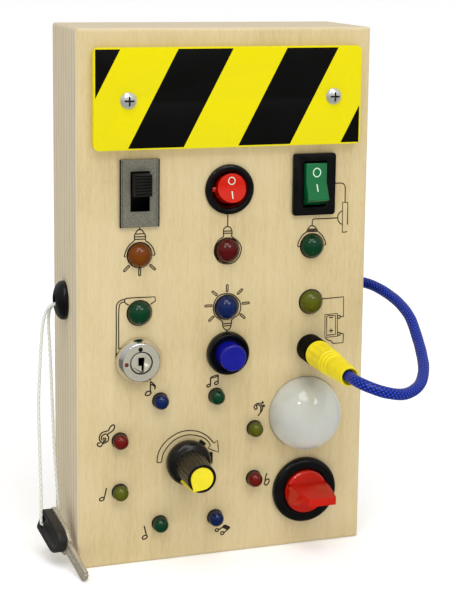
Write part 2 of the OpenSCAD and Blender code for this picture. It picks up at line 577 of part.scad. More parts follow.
// battery box behind the warning plate
module battery_box() color("black") at_back(0, bat_z) difference() {
  union() { box3(bat_out[0], bat_out[1], -18.6, -3.9); box3(bat_rim[0], bat_rim[1], -4, -2.05); }
  box3(bat_in[0], bat_in[1], -17, -1);
  for (i = [-1, 1]) translate([bat_screw_x * i, 0, 0]) rod(1.2, -5, 0);
}
module battery_door() color("black") at_back(0, bat_z) difference() {
  box3(bat_rim[0], bat_rim[1], -2, 0);
  for (i = [-1, 1]) translate([bat_screw_x * i, 0, 0]) rod(1.2, -5, 1);
  translate([0, -24, 0]) box3(12, 3, -0.8, 1);
}
module batteries() color("orange") for (k = [-1, 0, 1]) at_back(0, bat_z + k * bat_pitch)
  translate([0, 0, -9.4]) rotate([0, k == 0 ? 90 : -90, 0]) rotate_extrude() {
    translate([0, -bat_len / 2]) square([bat_r, bat_len - 1]);
    translate([0, bat_len / 2 - 1.1]) square([2.7, 1.1]);
  }

front_panel();
frame_layer_1();
frame_layer_2();
frame_layer_3();
frame_layer_4();
back_panel();
case_screws();
warning_plate();
plate_screws();
slide_plate();
slide_housing();
slide_knob();
round_rocker_housing();
round_rocker();
square_rocker_housing();
square_rocker();
switch_terminals();
led_amber();
led_red();
led_green();
led_blue();
led_olive();
small_leds_blue();
small_leds_green();
small_leds_olive();
small_leds_red();
circuit_board();
lock_body();
lock_nut();
lock_plug();
lock_contact_block();
button_housing();
button_nut();
button_cap();
button_spring();
jack_socket();
jack_nut();
plug_grip();
plug_pin();
plug_cord();
cord_gland();
dome_lens();
lamp_board();
lamp_led();
selector_ring();
selector_knob();
selector_nut();
selector_block();
dial_resistor();
dial_nut();
dial_washer();
dial_knob();
dial_cap();
string_boss();
key_string();
key_head();
key_blade();
battery_box();
battery_door();
batteries();
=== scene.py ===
import json
import math
import bpy
import bmesh
from mathutils import Matrix, Vector

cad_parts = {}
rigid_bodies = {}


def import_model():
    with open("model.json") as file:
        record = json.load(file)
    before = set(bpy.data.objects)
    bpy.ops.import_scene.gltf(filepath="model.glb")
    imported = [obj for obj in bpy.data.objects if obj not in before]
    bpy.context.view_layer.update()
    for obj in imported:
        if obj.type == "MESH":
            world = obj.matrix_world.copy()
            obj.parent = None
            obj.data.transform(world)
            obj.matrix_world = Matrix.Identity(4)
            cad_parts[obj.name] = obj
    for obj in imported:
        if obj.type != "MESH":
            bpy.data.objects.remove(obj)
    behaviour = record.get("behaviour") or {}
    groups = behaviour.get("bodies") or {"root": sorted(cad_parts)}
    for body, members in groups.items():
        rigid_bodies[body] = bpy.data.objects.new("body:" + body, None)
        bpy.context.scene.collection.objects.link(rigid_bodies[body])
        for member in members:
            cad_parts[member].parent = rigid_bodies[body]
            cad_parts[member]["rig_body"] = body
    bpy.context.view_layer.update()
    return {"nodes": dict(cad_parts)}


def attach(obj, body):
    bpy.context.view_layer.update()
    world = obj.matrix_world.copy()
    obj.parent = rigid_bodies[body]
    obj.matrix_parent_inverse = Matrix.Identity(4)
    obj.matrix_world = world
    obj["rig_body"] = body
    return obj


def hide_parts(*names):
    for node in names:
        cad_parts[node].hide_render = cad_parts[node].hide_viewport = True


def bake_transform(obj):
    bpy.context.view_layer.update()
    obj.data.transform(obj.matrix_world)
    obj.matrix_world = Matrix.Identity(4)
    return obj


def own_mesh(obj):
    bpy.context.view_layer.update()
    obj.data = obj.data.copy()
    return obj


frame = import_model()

nodes = frame["nodes"]
print("frame loaded,", len(nodes), "nodes")

mm = 0.001
board = {"front": -27.0, "width": 140.0, "seat": -0.02}  # flanges reach into the front by the seat
columns = {"left": -40.9, "middle": 0.9, "right": 42.7}
rows = {"switch": 176.0, "lampA": 147.4, "lampB": 120.4, "control": 98.0}
cameraLook = {"place": (-197.461, -646.061, 283.26), "yaw": 0.30959, "pitch": 0.15358, "roll": 0.01147,
              "focal": 1434.502, "middleX": 227.5, "middleY": 175.0, "frame": (455, 600), "sensor": 36.0}


def placed(name, data):  # a new object in the scene
    obj = bpy.data.objects.new(name, data)
    bpy.context.scene.collection.objects.link(obj)
    return obj


def aimCamera(look):  # place and aim were solved from the board's corners in the photograph
    cam = bpy.data.cameras.new("photoCamera")
    obj = placed("photoCamera", cam)
    yaw, pitch, roll = look["yaw"], look["pitch"], look["roll"]
    ahead = Vector((math.sin(yaw) * math.cos(pitch), math.cos(yaw) * math.cos(pitch), -math.sin(pitch)))
    level = Vector((math.cos(yaw), -math.sin(yaw), 0))
    upright = level.cross(ahead)
    right = math.cos(roll) * level + math.sin(roll) * upright
    up = -math.sin(roll) * level + math.cos(roll) * upright
    turn = Matrix((right, up, -ahead)).transposed()
    obj.matrix_world = Matrix.Translation(Vector(look["place"]) * mm) @ turn.to_4x4()
    w, h = look["frame"]
    cam.sensor_width = look["sensor"]
    cam.lens = look["focal"] * look["sensor"] / h
    cam.shift_x = (w / 2 - look["middleX"]) / h
    cam.shift_y = (look["middleY"] - h / 2) / h
    cam.clip_start, cam.clip_end = 0.05, 20
    bpy.context.scene.camera = obj


aimCamera(cameraLook)


# places on the board, then colours and the small steps that finishes are made of
def atFront(x, z):  # x right, y up, z out of the board
    turn = Matrix(((1, 0, 0), (0, 0, -1), (0, 1, 0)))
    return Matrix.Translation(Vector((x, board["front"], z)) * mm) @ turn.to_4x4() @ Matrix.Scale(mm, 4)


def fromFront(point):  # a point of a mesh as right, up and out of the front face
    return point.x / mm, point.z / mm, -point.y / mm + board["front"]


def tint(r, g, b):  # a colour as seen on the screen, 0 to 255
    def linear(c):
        c = c / 255
        return c / 12.92 if c <= 0.04045 else ((c + 0.055) / 1.055) ** 2.4
    return (linear(r), linear(g), linear(b), 1.0)


def newFinish(name, colour, rough=0.5, metal=0.0, **sockets):
    mat = bpy.data.materials.new(name)
    mat.use_nodes = True
    shader = shaderOf(mat)
    shader.inputs["Base Color"].default_value = colour
    shader.inputs["Roughness"].default_value = rough
    shader.inputs["Metallic"].default_value = metal
    for socket, value in sockets.items():
        shader.inputs[socket.replace("_", " ")].default_value = value
    mat.diffuse_color = colour
    return mat


def shaderOf(mat):
    return mat.node_tree.nodes["Principled BSDF"]


def addNode(mat, kind, values=None, **settings):
    node = mat.node_tree.nodes.new(kind)
    for key, value in settings.items():
        setattr(node, key, value)
    for key, value in (values or {}).items():
        node.inputs[key].default_value = value
    return node


def feed(mat, socket, value):  # a link from another socket, or a plain number or colour
    if isinstance(value, (int, float, tuple)):
        socket.default_value = value
    else:
        mat.node_tree.links.new(value, socket)


def maths(mat, operation, first, second=None):
    node = addNode(mat, "ShaderNodeMath", operation=operation)
    feed(mat, node.inputs[0], first)
    if second is not None:
        feed(mat, node.inputs[1], second)
    return node.outputs["Value"]


def blended(mat, share, first, second):
    node = addNode(mat, "ShaderNodeMix", {"Factor": share}, data_type="FLOAT")
    feed(mat, node.inputs["A"], first)
    feed(mat, node.inputs["B"], second)
    return node.outputs["Result"]


def pickedColour(mat, share, first, second):  # first where share is 0, second where it is 1
    node = addNode(mat, "ShaderNodeMix", data_type="RGBA")
    feed(mat, node.inputs[0], share)
    feed(mat, node.inputs[6], first)
    feed(mat, node.inputs[7], second)
    return node.outputs[2]


def setRamp(node, stops, interpolation="LINEAR"):
    ramp = node.color_ramp
    ramp.interpolation = interpolation
    while len(ramp.elements) < len(stops):
        ramp.elements.new(0.5)
    while len(ramp.elements) > len(stops):
        ramp.elements.remove(ramp.elements[-1])
    for element, (place, colour) in zip(ramp.elements, stops):
        element.position = place
        element.color = colour


def rampColour(mat, source, stops, interpolation="LINEAR"):
    node = addNode(mat, "ShaderNodeValToRGB")
    setRamp(node, stops, interpolation)
    feed(mat, node.inputs["Fac"], source)
    return node.outputs["Color"]


def splitXYZ(mat, kind, output):  # X, Y and Z of a node's vector
    split = addNode(mat, "ShaderNodeSeparateXYZ")
    feed(mat, split.inputs["Vector"], addNode(mat, kind).outputs[output])
    return split.outputs


def noiseOn(mat, scale, detail=2.0, stretch=(1, 1, 1), distortion=0.0):
    mapping = addNode(mat, "ShaderNodeMapping", {"Scale": stretch})
    feed(mat, mapping.inputs["Vector"], addNode(mat, "ShaderNodeTexCoord").outputs["Object"])
    noise = addNode(mat, "ShaderNodeTexNoise", {"Scale": scale, "Detail": detail, "Distortion": distortion})
    feed(mat, noise.inputs["Vector"], mapping.outputs["Vector"])
    return noise.outputs["Fac"]


def mottle(mat, colourA, colourB, scale, detail=3.0):  # soft colour variation
    colour = rampColour(mat, noiseOn(mat, scale, detail), [(0.35, colourA), (0.65, colourB)])
    feed(mat, shaderOf(mat).inputs["Base Color"], colour)


def bumpFrom(mat, height, strength, distance):  # distance in metres
    bump = addNode(mat, "ShaderNodeBump", {"Strength": strength, "Distance": distance})
    feed(mat, bump.inputs["Height"], height)
    feed(mat, shaderOf(mat).inputs["Normal"], bump.outputs["Normal"])


def roughFrom(mat, noise, low, high):
    span = addNode(mat, "ShaderNodeMapRange", {"From Min": 0.3, "From Max": 0.7, "To Min": low, "To Max": high})
    feed(mat, span.inputs["Value"], noise)
    feed(mat, shaderOf(mat).inputs["Roughness"], span.outputs["Result"])


def plainPlastic(name, colour, rough=0.35, vary=0.06, grain=0.0, **sockets):
    mat = newFinish(name, colour, rough, **sockets)
    darker = tuple(c * (1 - vary) for c in colour[:3]) + (1.0,)
    lighter = tuple(min(1, c * (1 + vary) + 0.002) for c in colour[:3]) + (1.0,)
    mottle(mat, darker, lighter, 180, 4)
    roughFrom(mat, noiseOn(mat, 400, 3.0), rough * 0.85, min(1, rough * 1.2))
    if grain:
        bumpFrom(mat, noiseOn(mat, 2600), grain, 0.0001)
    return mat


def clearTinted(name, face, edge, rough, depth, shine):  # clear plastic, deeper in colour at its edges
    mat = newFinish(name, face, rough, IOR=1.49, Specular_IOR_Level=shine, Transmission_Weight=depth)
    facing = addNode(mat, "ShaderNodeLayerWeight", {"Blend": 0.35}).outputs["Facing"]
    feed(mat, shaderOf(mat).inputs["Base Color"], rampColour(mat, facing, [(0.05, face), (0.75, edge)]))
    bumpFrom(mat, noiseOn(mat, 300), 0.01, 0.0001)
    return mat


plyLook = {"face": [(0.3, tint(198, 176, 124)), (0.5, tint(213, 193, 145)), (0.7, tint(221, 203, 160))],
           "edge": [(0.12, tint(186, 168, 134)), (0.35, tint(208, 192, 160)), (0.62, tint(221, 208, 178)),
                    (0.9, tint(205, 187, 158))],
           "perMetre": 333.33, "waver": 0.0006}  # plies across the depth, and how far they waver, in metres


def makePlywood(look):
    mat = newFinish("plywood", tint(218, 200, 154), 0.55)
    streaks = noiseOn(mat, 1.0, 4.0, (300, 300, 14), 0.5)
    fine = noiseOn(mat, 1.0, 3.0, (1500, 1500, 260))
    clouds = noiseOn(mat, 26.0, 2.0)
    grain = blended(mat, 0.55, streaks, fine)
    face = rampColour(mat, blended(mat, 0.4, grain, clouds), look["face"])
    # the edges show thin plies across the depth, each with its own tone
    wobble = maths(mat, "MULTIPLY", noiseOn(mat, 1.0, 2.0, (14, 160, 14)), look["waver"])
    depth = maths(mat, "ADD", splitXYZ(mat, "ShaderNodeTexCoord", "Object")["Y"], wobble)
    wave = maths(mat, "PINGPONG", maths(mat, "MULTIPLY", depth, look["perMetre"]), 1.0)
    tone = noiseOn(mat, 1.0, 3.0, (30, 900, 30))
    edge = rampColour(mat, blended(mat, 0.45, wave, tone), look["edge"])
    across = maths(mat, "ABSOLUTE", splitXYZ(mat, "ShaderNodeNewGeometry", "True Normal")["Y"])
    colour = pickedColour(mat, maths(mat, "GREATER_THAN", across, 0.7), edge, face)
    feed(mat, shaderOf(mat).inputs["Base Color"], colour)
    bumpFrom(mat, grain, 0.12, 0.0002)
    roughFrom(mat, noiseOn(mat, 120, 3.0), 0.48, 0.66)
    return mat


stripeLook = {"yellow": tint(229, 216, 0), "black": tint(9, 9, 8), "lean": 0.522, "foot": 196,
              "span": (-100, 100), "edges": (-74.3, -47.9, -22.1, 3.5, 28.8, 53.5),
              "face": (("X", 0.6, 62.7), ("Z", 218.8, 22.1))}  # middle and reach of the striped area


def makeStripes(look):  # black bands leaning to the right across a yellow plate
    mat = newFinish("stripedPlate", look["yellow"], 0.3, Specular_IOR_Level=0.15)
    place = splitXYZ(mat, "ShaderNodeTexCoord", "Object")
    along = maths(mat, "ADD", place["X"], maths(mat, "MULTIPLY", place["Z"], -look["lean"]))
    low, high = look["span"]
    foot = look["lean"] * look["foot"] * mm
    share = addNode(mat, "ShaderNodeMapRange", {"From Min": low * mm - foot, "From Max": high * mm - foot})
    feed(mat, share.inputs["Value"], along)
    stops, colour = [(0.0, look["black"])], look["yellow"]
    for edge in look["edges"]:
        stops.append(((edge - low) / (high - low), colour))
        colour = look["black"] if colour == look["yellow"] else look["yellow"]
    bands = rampColour(mat, share.outputs["Result"], stops, "CONSTANT")
    inside = maths(mat, "LESS_THAN", splitXYZ(mat, "ShaderNodeNewGeometry", "True Normal")["Y"], -0.95)
    for axis, middle, reach in look["face"]:  # the stripes end just inside the edges
        away = maths(mat, "ABSOLUTE", maths(mat, "SUBTRACT", place[axis], middle * mm))
        inside = maths(mat, "MULTIPLY", inside, maths(mat, "LESS_THAN", away, reach * mm))
    feed(mat, shaderOf(mat).inputs["Base Color"], pickedColour(mat, inside, look["yellow"], bands))
    bumpFrom(mat, noiseOn(mat, 1500), 0.03, 0.0001)
    roughFrom(mat, noiseOn(mat, 90, 3.0), 0.24, 0.36)
    return mat


def makeBraid(name, colours, turns, pitch, rough, relief):  # threads read from the tube's own UV map
    mat = newFinish(name, colours[1], rough, Specular_IOR_Level=0.3)
    place = splitXYZ(mat, "ShaderNodeTexCoord", "UV")
    threads = []
    for way in (turns, -turns):
        around = maths(mat, "MULTIPLY", place["X"], way)
        along = maths(mat, "MULTIPLY", place["Y"], 1 / pitch)
        threads.append(maths(mat, "PINGPONG", maths(mat, "ADD", around, along), 0.5))
    weave = maths(mat, "MULTIPLY", threads[0], threads[1])
    colour = rampColour(mat, weave, list(zip((0.0, 0.07, 0.16), colours)))
    feed(mat, shaderOf(mat).inputs["Base Color"], colour)
    bumpFrom(mat, weave, relief, 0.0004)
    return mat


def brushedMetal(name, colour, rough=0.25, stretch=(60, 60, 2000), strength=0.08, metal=1.0):
    mat = newFinish(name, colour, rough, metal)
    noise = noiseOn(mat, 1.0, 3.0, stretch)
    roughFrom(mat, noise, rough * 0.7, min(1, rough * 1.5))
    bumpFrom(mat, noise, strength, 0.0001)
    return mat


finish = {
    "plywood": makePlywood(plyLook),
    "stripes": makeStripes(stripeLook),
    "steel": brushedMetal("steel", (0.62, 0.61, 0.58, 1), 0.28),
    "chrome": brushedMetal("chrome", (0.70, 0.69, 0.66, 1), 0.09, (300, 300, 300), 0.02),
    "satinMetal": brushedMetal("satinMetal", (0.62, 0.59, 0.47, 1), 0.34, (120, 120, 120), 0.01, 0.45),
    "nickel": brushedMetal("nickel", (0.62, 0.57, 0.45, 1), 0.26, (700, 60, 700), 0.04, 0.65),
    "screwMetal": brushedMetal("screwMetal", (0.66, 0.66, 0.64, 1), 0.16, (500, 500, 500), 0.03, 0.6),
    # painted shade: a near-black finish laid on hollows and gaps that fall into shade
    "paintedShade": plainPlastic("paintedShade", tint(24, 22, 18), 0.6, 0.2),
    "brass": brushedMetal("brass", (0.72, 0.56, 0.28, 1), 0.3),
    "greySwitch": plainPlastic("greySwitch", tint(112, 110, 95), 0.5, 0.1, 0.6),
    "black": plainPlastic("blackGloss", tint(10, 10, 10), 0.2, 0.15, 0.03, Specular_IOR_Level=0.2),
    "blackMatte": plainPlastic("blackMatte", tint(14, 13, 11), 0.34, 0.2, 0.08, Specular_IOR_Level=0.25),
    "dialBlack": plainPlastic("dialBlack", tint(13, 12, 10), 0.24, 0.15, 0.03, Specular_IOR_Level=0.3),
    "jackBlack": plainPlastic("jackBlack", tint(3, 3, 3), 0.6, 0.15, 0.03, Specular_IOR_Level=0.04),
    "blackKey": plainPlastic("blackKey", tint(26, 25, 23), 0.3, 0.2, 0.1, Specular_IOR_Level=0.55),
    "redClear": clearTinted("redClear", tint(212, 28, 1), tint(138, 6, 1), 0.12, 0.12, 0.5),
    # painted red glow of the lit translucent rocker, laid on the black bezel's wall
    "paintedRedGlow": plainPlastic("paintedRedGlow", tint(126, 20, 8), 0.3, 0.2),
    "greenClear": clearTinted("greenClear", tint(2, 110, 58), tint(1, 58, 30), 0.1, 0.12, 0.6),
    "amberLamp": clearTinted("amberLamp", tint(116, 58, 5), tint(54, 20, 1), 0.06, 0.06, 0.3),
    "darkRedLamp": clearTinted("darkRedLamp", tint(84, 6, 8), tint(28, 1, 3), 0.05, 0.06, 0.3),
    "redLamp": clearTinted("redLamp", tint(108, 18, 6), tint(44, 4, 1), 0.06, 0.06, 0.3),
    "greenLamp": clearTinted("greenLamp", tint(2, 58, 30), tint(1, 24, 12), 0.05, 0.06, 0.3),
    "blueLamp": clearTinted("blueLamp", tint(12, 32, 84), tint(3, 8, 34), 0.05, 0.06, 0.3),
    "oliveLamp": clearTinted("oliveLamp", tint(88, 92, 10), tint(42, 44, 3), 0.06, 0.06, 0.3),
    "milky": plainPlastic("milky", tint(200, 202, 194), 0.12, 0.02, 0.0, Coat_Weight=0.3, Coat_Roughness=0.05,
                          Subsurface_Weight=0.15, Subsurface_Scale=0.004),
    "blueCap": plainPlastic("blueCap", tint(12, 16, 140), 0.2, 0.06, 0.03, Specular_IOR_Level=0.35),
    "yellow": plainPlastic("yellowGrip", tint(240, 221, 2), 0.42, 0.05, 0.1, Subsurface_Weight=0.1,
                           Subsurface_Scale=0.002),
    "boardGreen": plainPlastic("boardGreen", tint(20, 92, 52), 0.4, 0.15, 0.1),
    "lampWhite": plainPlastic("lampWhite", tint(226, 226, 216), 0.2, 0.04, 0.02),
    "cellWrap": plainPlastic("cellWrap", tint(150, 96, 40), 0.25, 0.1, 0.02),
    "burnt": newFinish("burntLine", tint(84, 60, 32), 0.8),
    "ink": newFinish("inkLine", tint(38, 26, 18), 0.75),
    "paint": newFinish("markPaint", tint(206, 238, 214), 0.5),
}
mottle(finish["greySwitch"], tint(96, 94, 81), tint(128, 126, 110), 2400)
mottle(finish["burnt"], tint(38, 25, 7), tint(72, 52, 20), 300)
mottle(finish["ink"], tint(14, 9, 3), tint(44, 30, 11), 500)
print("finishes made")


# pieces: a name, a mesh, a finish, the body that it rides on and the CAD nodes that it stands for
def addPiece(name, mesh, mat, body, replaced=()):
    obj = placed(name, mesh)
    mesh.materials.clear()
    mesh.materials.append(mat)
    if body:  # a blended piece has no body of its own
        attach(obj, body)
    if replaced:
        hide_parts(*replaced)
    return obj


def smoothMesh(mesh, angle=32):
    mesh.polygons.foreach_set("use_smooth", [True] * len(mesh.polygons))
    mesh.set_sharp_from_angle(angle=math.radians(angle))
    mesh.update()


def meshFrom(name, points, faces, place=None, angle=32):
    mesh = bpy.data.meshes.new(name)
    mesh.from_pydata([tuple(p) for p in points], [], faces)
    mesh.update()
    if place is not None:
        mesh.transform(place)
    bm = bmesh.new()
    bm.from_mesh(mesh)
    bmesh.ops.remove_doubles(bm, verts=bm.verts, dist=1e-7)
    bmesh.ops.recalc_face_normals(bm, faces=bm.faces)
    bm.to_mesh(mesh)
    bm.free()
    smoothMesh(mesh, angle)
    return mesh


def meshOf(bm, name):
    mesh = bpy.data.meshes.new(name)
    bm.to_mesh(mesh)
    bm.free()
    return mesh


def roundedProfile(profile, steps=5):  # (r, out, fillet) corners turned into small arcs
    result = []
    for i, corner in enumerate(profile):
        r, z = corner[0], corner[1]
        fillet = corner[2] if len(corner) > 2 else 0
        if not fillet or i in (0, len(profile) - 1):
            result.append((r, z))
            continue
        here = Vector((r, z))
        before, after = Vector(profile[i - 1][:2]) - here, Vector(profile[i + 1][:2]) - here
        cut = min(fillet, before.length * 0.49, after.length * 0.49)
        start, end = here + before * (cut / before.length), here + after * (cut / after.length)
        for k in range(steps + 1):
            t = k / steps
            result.append(tuple((1 - t) ** 2 * start + 2 * t * (1 - t) * here + t * t * end))
    return result


def quarterArc(r, steps, base=0):  # from the tip of a round dome down to its rim
    turns = [math.pi / 2 * (1 - k / steps) for k in range(1, steps + 1)]
    return [(0, base + r)] + [(r * math.cos(a), base + r * math.sin(a)) for a in turns]


def turnedMesh(name, profile, place, around, ripple=None):  # a profile (r, out) turned about its axis
    points, faces, rings = [], [], []
    for r, z in profile:
        if r < 1e-6:
            rings.append([len(points)])
            points.append((0, 0, z))
            continue
        ring = []
        for k in range(around):
            a = 2 * math.pi * k / around
            reach = r + (ripple(r, z, a) if ripple else 0)
            ring.append(len(points))
            points.append((reach * math.cos(a), reach * math.sin(a), z))
        rings.append(ring)
    for one, two in zip(rings, rings[1:]):
        for k in range(around):
            a, b = one[k % len(one)], one[(k + 1) % len(one)]
            c, d = two[(k + 1) % len(two)], two[k % len(two)]
            face = []
            for v in (a, b, c, d):
                if v not in face:
                    face.append(v)
            if len(face) > 2:
                faces.append(face)
    return meshFrom(name, points, faces, place)


def turnedPiece(name, node, body, mat, profile, place, around, ripple=None):
    return addPiece(name, turnedMesh(name, profile, place, around, ripple), mat, body, (node,))


def bevelled(bm, merge, angle, bevel, steps):  # joins close points, rounds the sharp edges, gives the new faces
    bmesh.ops.remove_doubles(bm, verts=bm.verts, dist=merge)
    bmesh.ops.dissolve_limit(bm, angle_limit=math.radians(0.6), verts=bm.verts, edges=bm.edges)
    soft = set()
    if bevel:
        sharp = [e for e in bm.edges if len(e.link_faces) == 2 and e.calc_face_angle(0) > math.radians(angle)]
        soft = set(bmesh.ops.bevel(bm, geom=sharp, offset=bevel * mm, segments=steps, profile=0.5,
                                   affect="EDGES", clamp_overlap=True, loop_slide=False)["faces"])
    bmesh.ops.recalc_face_normals(bm, faces=bm.faces)
    return soft


def dress(node, mat, bevel, steps=2):  # a merged copy of a CAD node with softened edges
    bm = bmesh.new()
    bm.from_mesh(nodes[node].data)
    soft = bevelled(bm, 2e-6, 30, bevel, steps)
    for face in bm.faces:  # flat faces keep a flat shine
        face.smooth = face in soft or any(
            math.radians(0.7) < edge.calc_face_angle(0) < math.radians(20) and soft.isdisjoint(edge.link_faces)
            for edge in face.edges)
    mesh = meshOf(bm, node + "Look")
    mesh.set_sharp_from_angle(angle=math.radians(34))
    return addPiece(node + "Look", mesh, mat, nodes[node]["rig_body"], (node,))


def coverNode(node, mat):  # keeps the CAD node and gives it a finish
    obj = nodes[node]
    obj.data.materials.clear()
    obj.data.materials.append(mat)


def paintFaces(mesh, mat, chosen):  # one more finish, on the faces that chosen picks
    mesh.materials.append(mat)
    index = len(mesh.materials) - 1
    for face in mesh.polygons:
        if chosen(*fromFront(face.center), face.normal):
            face.material_index = index


def plainMesh(obj):
    depsgraph = bpy.context.evaluated_depsgraph_get()
    mesh = bpy.data.meshes.new_from_object(obj.evaluated_get(depsgraph))
    obj.modifiers.clear()
    return mesh


# cords: an even path from the points that the CAD uses, then a tube along it
def smoothPath(points, steps):
    points = [Vector(p) for p in points]
    result = []
    for i in range(len(points) - 1):
        a, b = points[max(i - 1, 0)], points[i]
        c, d = points[i + 1], points[min(i + 2, len(points) - 1)]
        for k in range(steps):
            t = k / steps
            result.append(0.5 * (2 * b + (c - a) * t + (2 * a - 5 * b + 4 * c - d) * t * t
                                 + (3 * b - a - 3 * c + d) * t ** 3))
    return result + [points[-1]]


def evenPath(path, gap):  # the same curve with points an equal distance apart
    lengths = [0.0]
    for a, b in zip(path, path[1:]):
        lengths.append(lengths[-1] + (b - a).length)
    count = max(4, round(lengths[-1] / gap))
    result, j = [], 0
    for k in range(count + 1):
        s = lengths[-1] * k / count
        while j < len(path) - 2 and lengths[j + 1] < s:
            j += 1
        t = (s - lengths[j]) / max(lengths[j + 1] - lengths[j], 1e-9)
        result.append(path[j].lerp(path[j + 1], min(max(t, 0), 1)))
    return result, lengths[-1]


def sweptTube(name, path, shape, around):  # shape(angle, distance) gives the radius
    distances, normal, distance, points, faces = [], None, 0.0, [], []
    for i, p in enumerate(path):
        ahead = (path[min(i + 1, len(path) - 1)] - path[max(i - 1, 0)]).normalized()
        if normal is None:
            normal = Vector((0, 0, 1)) if abs(ahead.z) < 0.8 else Vector((1, 0, 0))
        normal = (normal - ahead * normal.dot(ahead)).normalized()
        side = ahead.cross(normal)
        distance += (p - path[i - 1]).length if i else 0
        distances.append(distance)
        for k in range(around):
            a = 2 * math.pi * k / around
            points.append(p + (normal * math.cos(a) + side * math.sin(a)) * shape(a, distance))
    last = len(path) - 1
    for i in range(last):
        for k in range(around):
            faces.append((i * around + k, i * around + (k + 1) % around,
                          (i + 1) * around + (k + 1) % around, (i + 1) * around + k))
    faces.append(tuple(reversed(range(around))))
    faces.append(tuple(range(last * around, (last + 1) * around)))
    mesh = bpy.data.meshes.new(name)
    mesh.from_pydata([tuple(p) for p in points], [], faces)
    layer = mesh.uv_layers.new(name="UVMap")
    for face in mesh.polygons:
        closing = face.index < last * around and face.index % around == around - 1
        for loop in face.loop_indices:
            v = mesh.loops[loop].vertex_index
            u = 1.0 if closing and v % around == 0 else (v % around) / around
            layer.data[loop].uv = (u, distances[min(v // around, last)])
    smoothMesh(mesh, 60)
    return mesh


# the cords' own sizes are in metres, their points in mm
plugCord = {"diameter": 0.0052, "step": 0.0016, "radius": 0.00256, "pitch": 0.0019, "threads": 8, "points": [
    (62, -0.6, 122.1), (70, -0.6, 122.1), (76.5, -0.6, 122.1), (80.237, -2.197, 121.955),
    (84.232, -8.003, 120.842), (87.522, -16.499, 118.709), (88.988, -26.996, 116.253),
    (88.859, -38.999, 112.537), (87.117, -51.001, 106.247), (84.467, -62.003, 101.246),
    (80.42, -72.997, 97.079), (73.704, -82.997, 93.551), (64.23, -89.598, 92.283),
    (54.629, -92.204, 94.199), (47.25, -90.5, 96.612), (43.378, -84.502, 97.865), (42.6, -77, 98),
    (42.6, -68.1, 98)]}
keyString = {"diameter": 0.0016, "step": 0.0006, "radius": 0.00073, "swell": 0.00007, "twist": 0.0052,
             "points": [
    (-62.5, -1.52, 120.5), (-74.6, -1.52, 120.5), (-77.4, -1.52, 119.6), (-79.3, -1.82, 117.1),
    (-81.1, -2.12, 110), (-82.629, -3.462, 91.921), (-83.658, -4.804, 73.841), (-83.645, -6.548, 50.338),
    (-83.427, -8.024, 30.451), (-83.744, -8.829, 19.603), (-83.099, -7.856, 16.419),
    (-80.371, -6.875, 15.018), (-77.442, -6.18, 15.641), (-75.554, -6.08, 18.156),
    (-74.722, -6.268, 22.347), (-75.439, -5.346, 34.492), (-76.413, -3.633, 57.048),
    (-77.224, -0.734, 95.219), (-77.7, 0.32, 109.1), (-77.5, 0.32, 116.1), (-76.3, 0.32, 119.2),
    (-73.8, 0.32, 120.5), (-62.5, 0.32, 120.5)]}
finish["braid"] = makeBraid("blueBraid", (tint(3, 12, 84), tint(7, 32, 148), tint(44, 84, 206)),
                            plugCord["threads"], plugCord["pitch"], 0.3, 0.6)
finish["string"] = makeBraid("whiteString", (tint(216, 217, 207), tint(228, 229, 220), tint(236, 236, 229)),
                             2, keyString["twist"] / 2, 0.6, 0.2)


def braidShape(a, s):  # the threads of both ways stand out where they cross
    around, along = plugCord["threads"] * a, s / plugCord["pitch"] * math.pi
    return plugCord["radius"] * (1 + 0.02 * math.cos(around + along) * math.cos(around - along))


def twistShape(a, s):  # two plies laid round each other
    return keyString["radius"] + keyString["swell"] * math.cos(2 * (a - 2 * math.pi * s / keyString["twist"]))


def cordLine(cord, steps):  # the cord's path and its length, in metres
    return evenPath(smoothPath([Vector(p) * mm for p in cord["points"]], steps), cord["step"])


cordPath, cordLength = cordLine(plugCord, 12)
stringPath, stringLength = cordLine(keyString, 8)
cordMesh = sweptTube("plugCordLook", cordPath, braidShape, 28)
cordPiece = addPiece("plugCordLook", cordMesh, finish["braid"], None, ("plug_cord",))
stringMesh = sweptTube("keyStringLook", stringPath, twistShape, 12)
stringPiece = addPiece("keyStringLook", stringMesh, finish["string"], "board", ("key_string",))
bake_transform(cordPiece)
print("cords laid:", round(cordLength, 4), round(stringLength, 4))


# wooden case with a boss on either side, for the string on the left and for the cord on the right
for layer in ("front_panel", "frame_layer_1", "frame_layer_2", "frame_layer_3", "frame_layer_4", "back_panel"):
    coverNode(layer, finish["plywood"])
coverNode("case_screws", finish["steel"])
boss = {"y": -0.6, "z": 122.1, "r": 9.2, "out": 5.2, "rim": 1.1, "tube": 4.0, "inside": -9, "sweep": 4.5,
        "stringBore": 3.2, "cordBore": plugCord["diameter"] / mm / 2 + 0.1}


def bossPiece(node, side, bore):  # a smooth domed button with a bored middle, side is -1 for the left one
    turn = Matrix(((0, 0, side), (side, 0, 0), (0, 1, 0)))
    middle = Vector((side * board["width"] / 2, boss["y"], boss["z"]))
    place = Matrix.Translation(middle * mm) @ turn.to_4x4() @ Matrix.Scale(mm, 4)
    profile = [(bore, boss["inside"]), (boss["tube"], boss["inside"]), (boss["tube"], 0.01),
               (boss["r"] - 0.2, 0.01), (boss["r"], 0.25)]
    for k in range(15):
        rise = (boss["out"] - boss["rim"]) * math.sin(math.radians(90 * k / 14))
        profile.append((boss["r"] * math.sqrt(1 - (rise / boss["sweep"]) ** 2), boss["rim"] + rise))
    profile += [(bore + 0.3, boss["out"]), (bore, boss["out"] - 0.3), (bore, boss["inside"])]
    turnedPiece(node + "Look", node, "board", finish["black"], profile, place, 96)


bossPiece("string_boss", -1, boss["stringBore"])
bossPiece("cord_gland", 1, boss["cordBore"])

# warning plate and its two screws
dress("warning_plate", finish["stripes"], 0.35, 3)
plateScrews = {"places": ((-47, 218.1), (50.5, 218.3)), "cross": 2.3, "low": 4.9, "floor": 5.05, "top": 6.1}


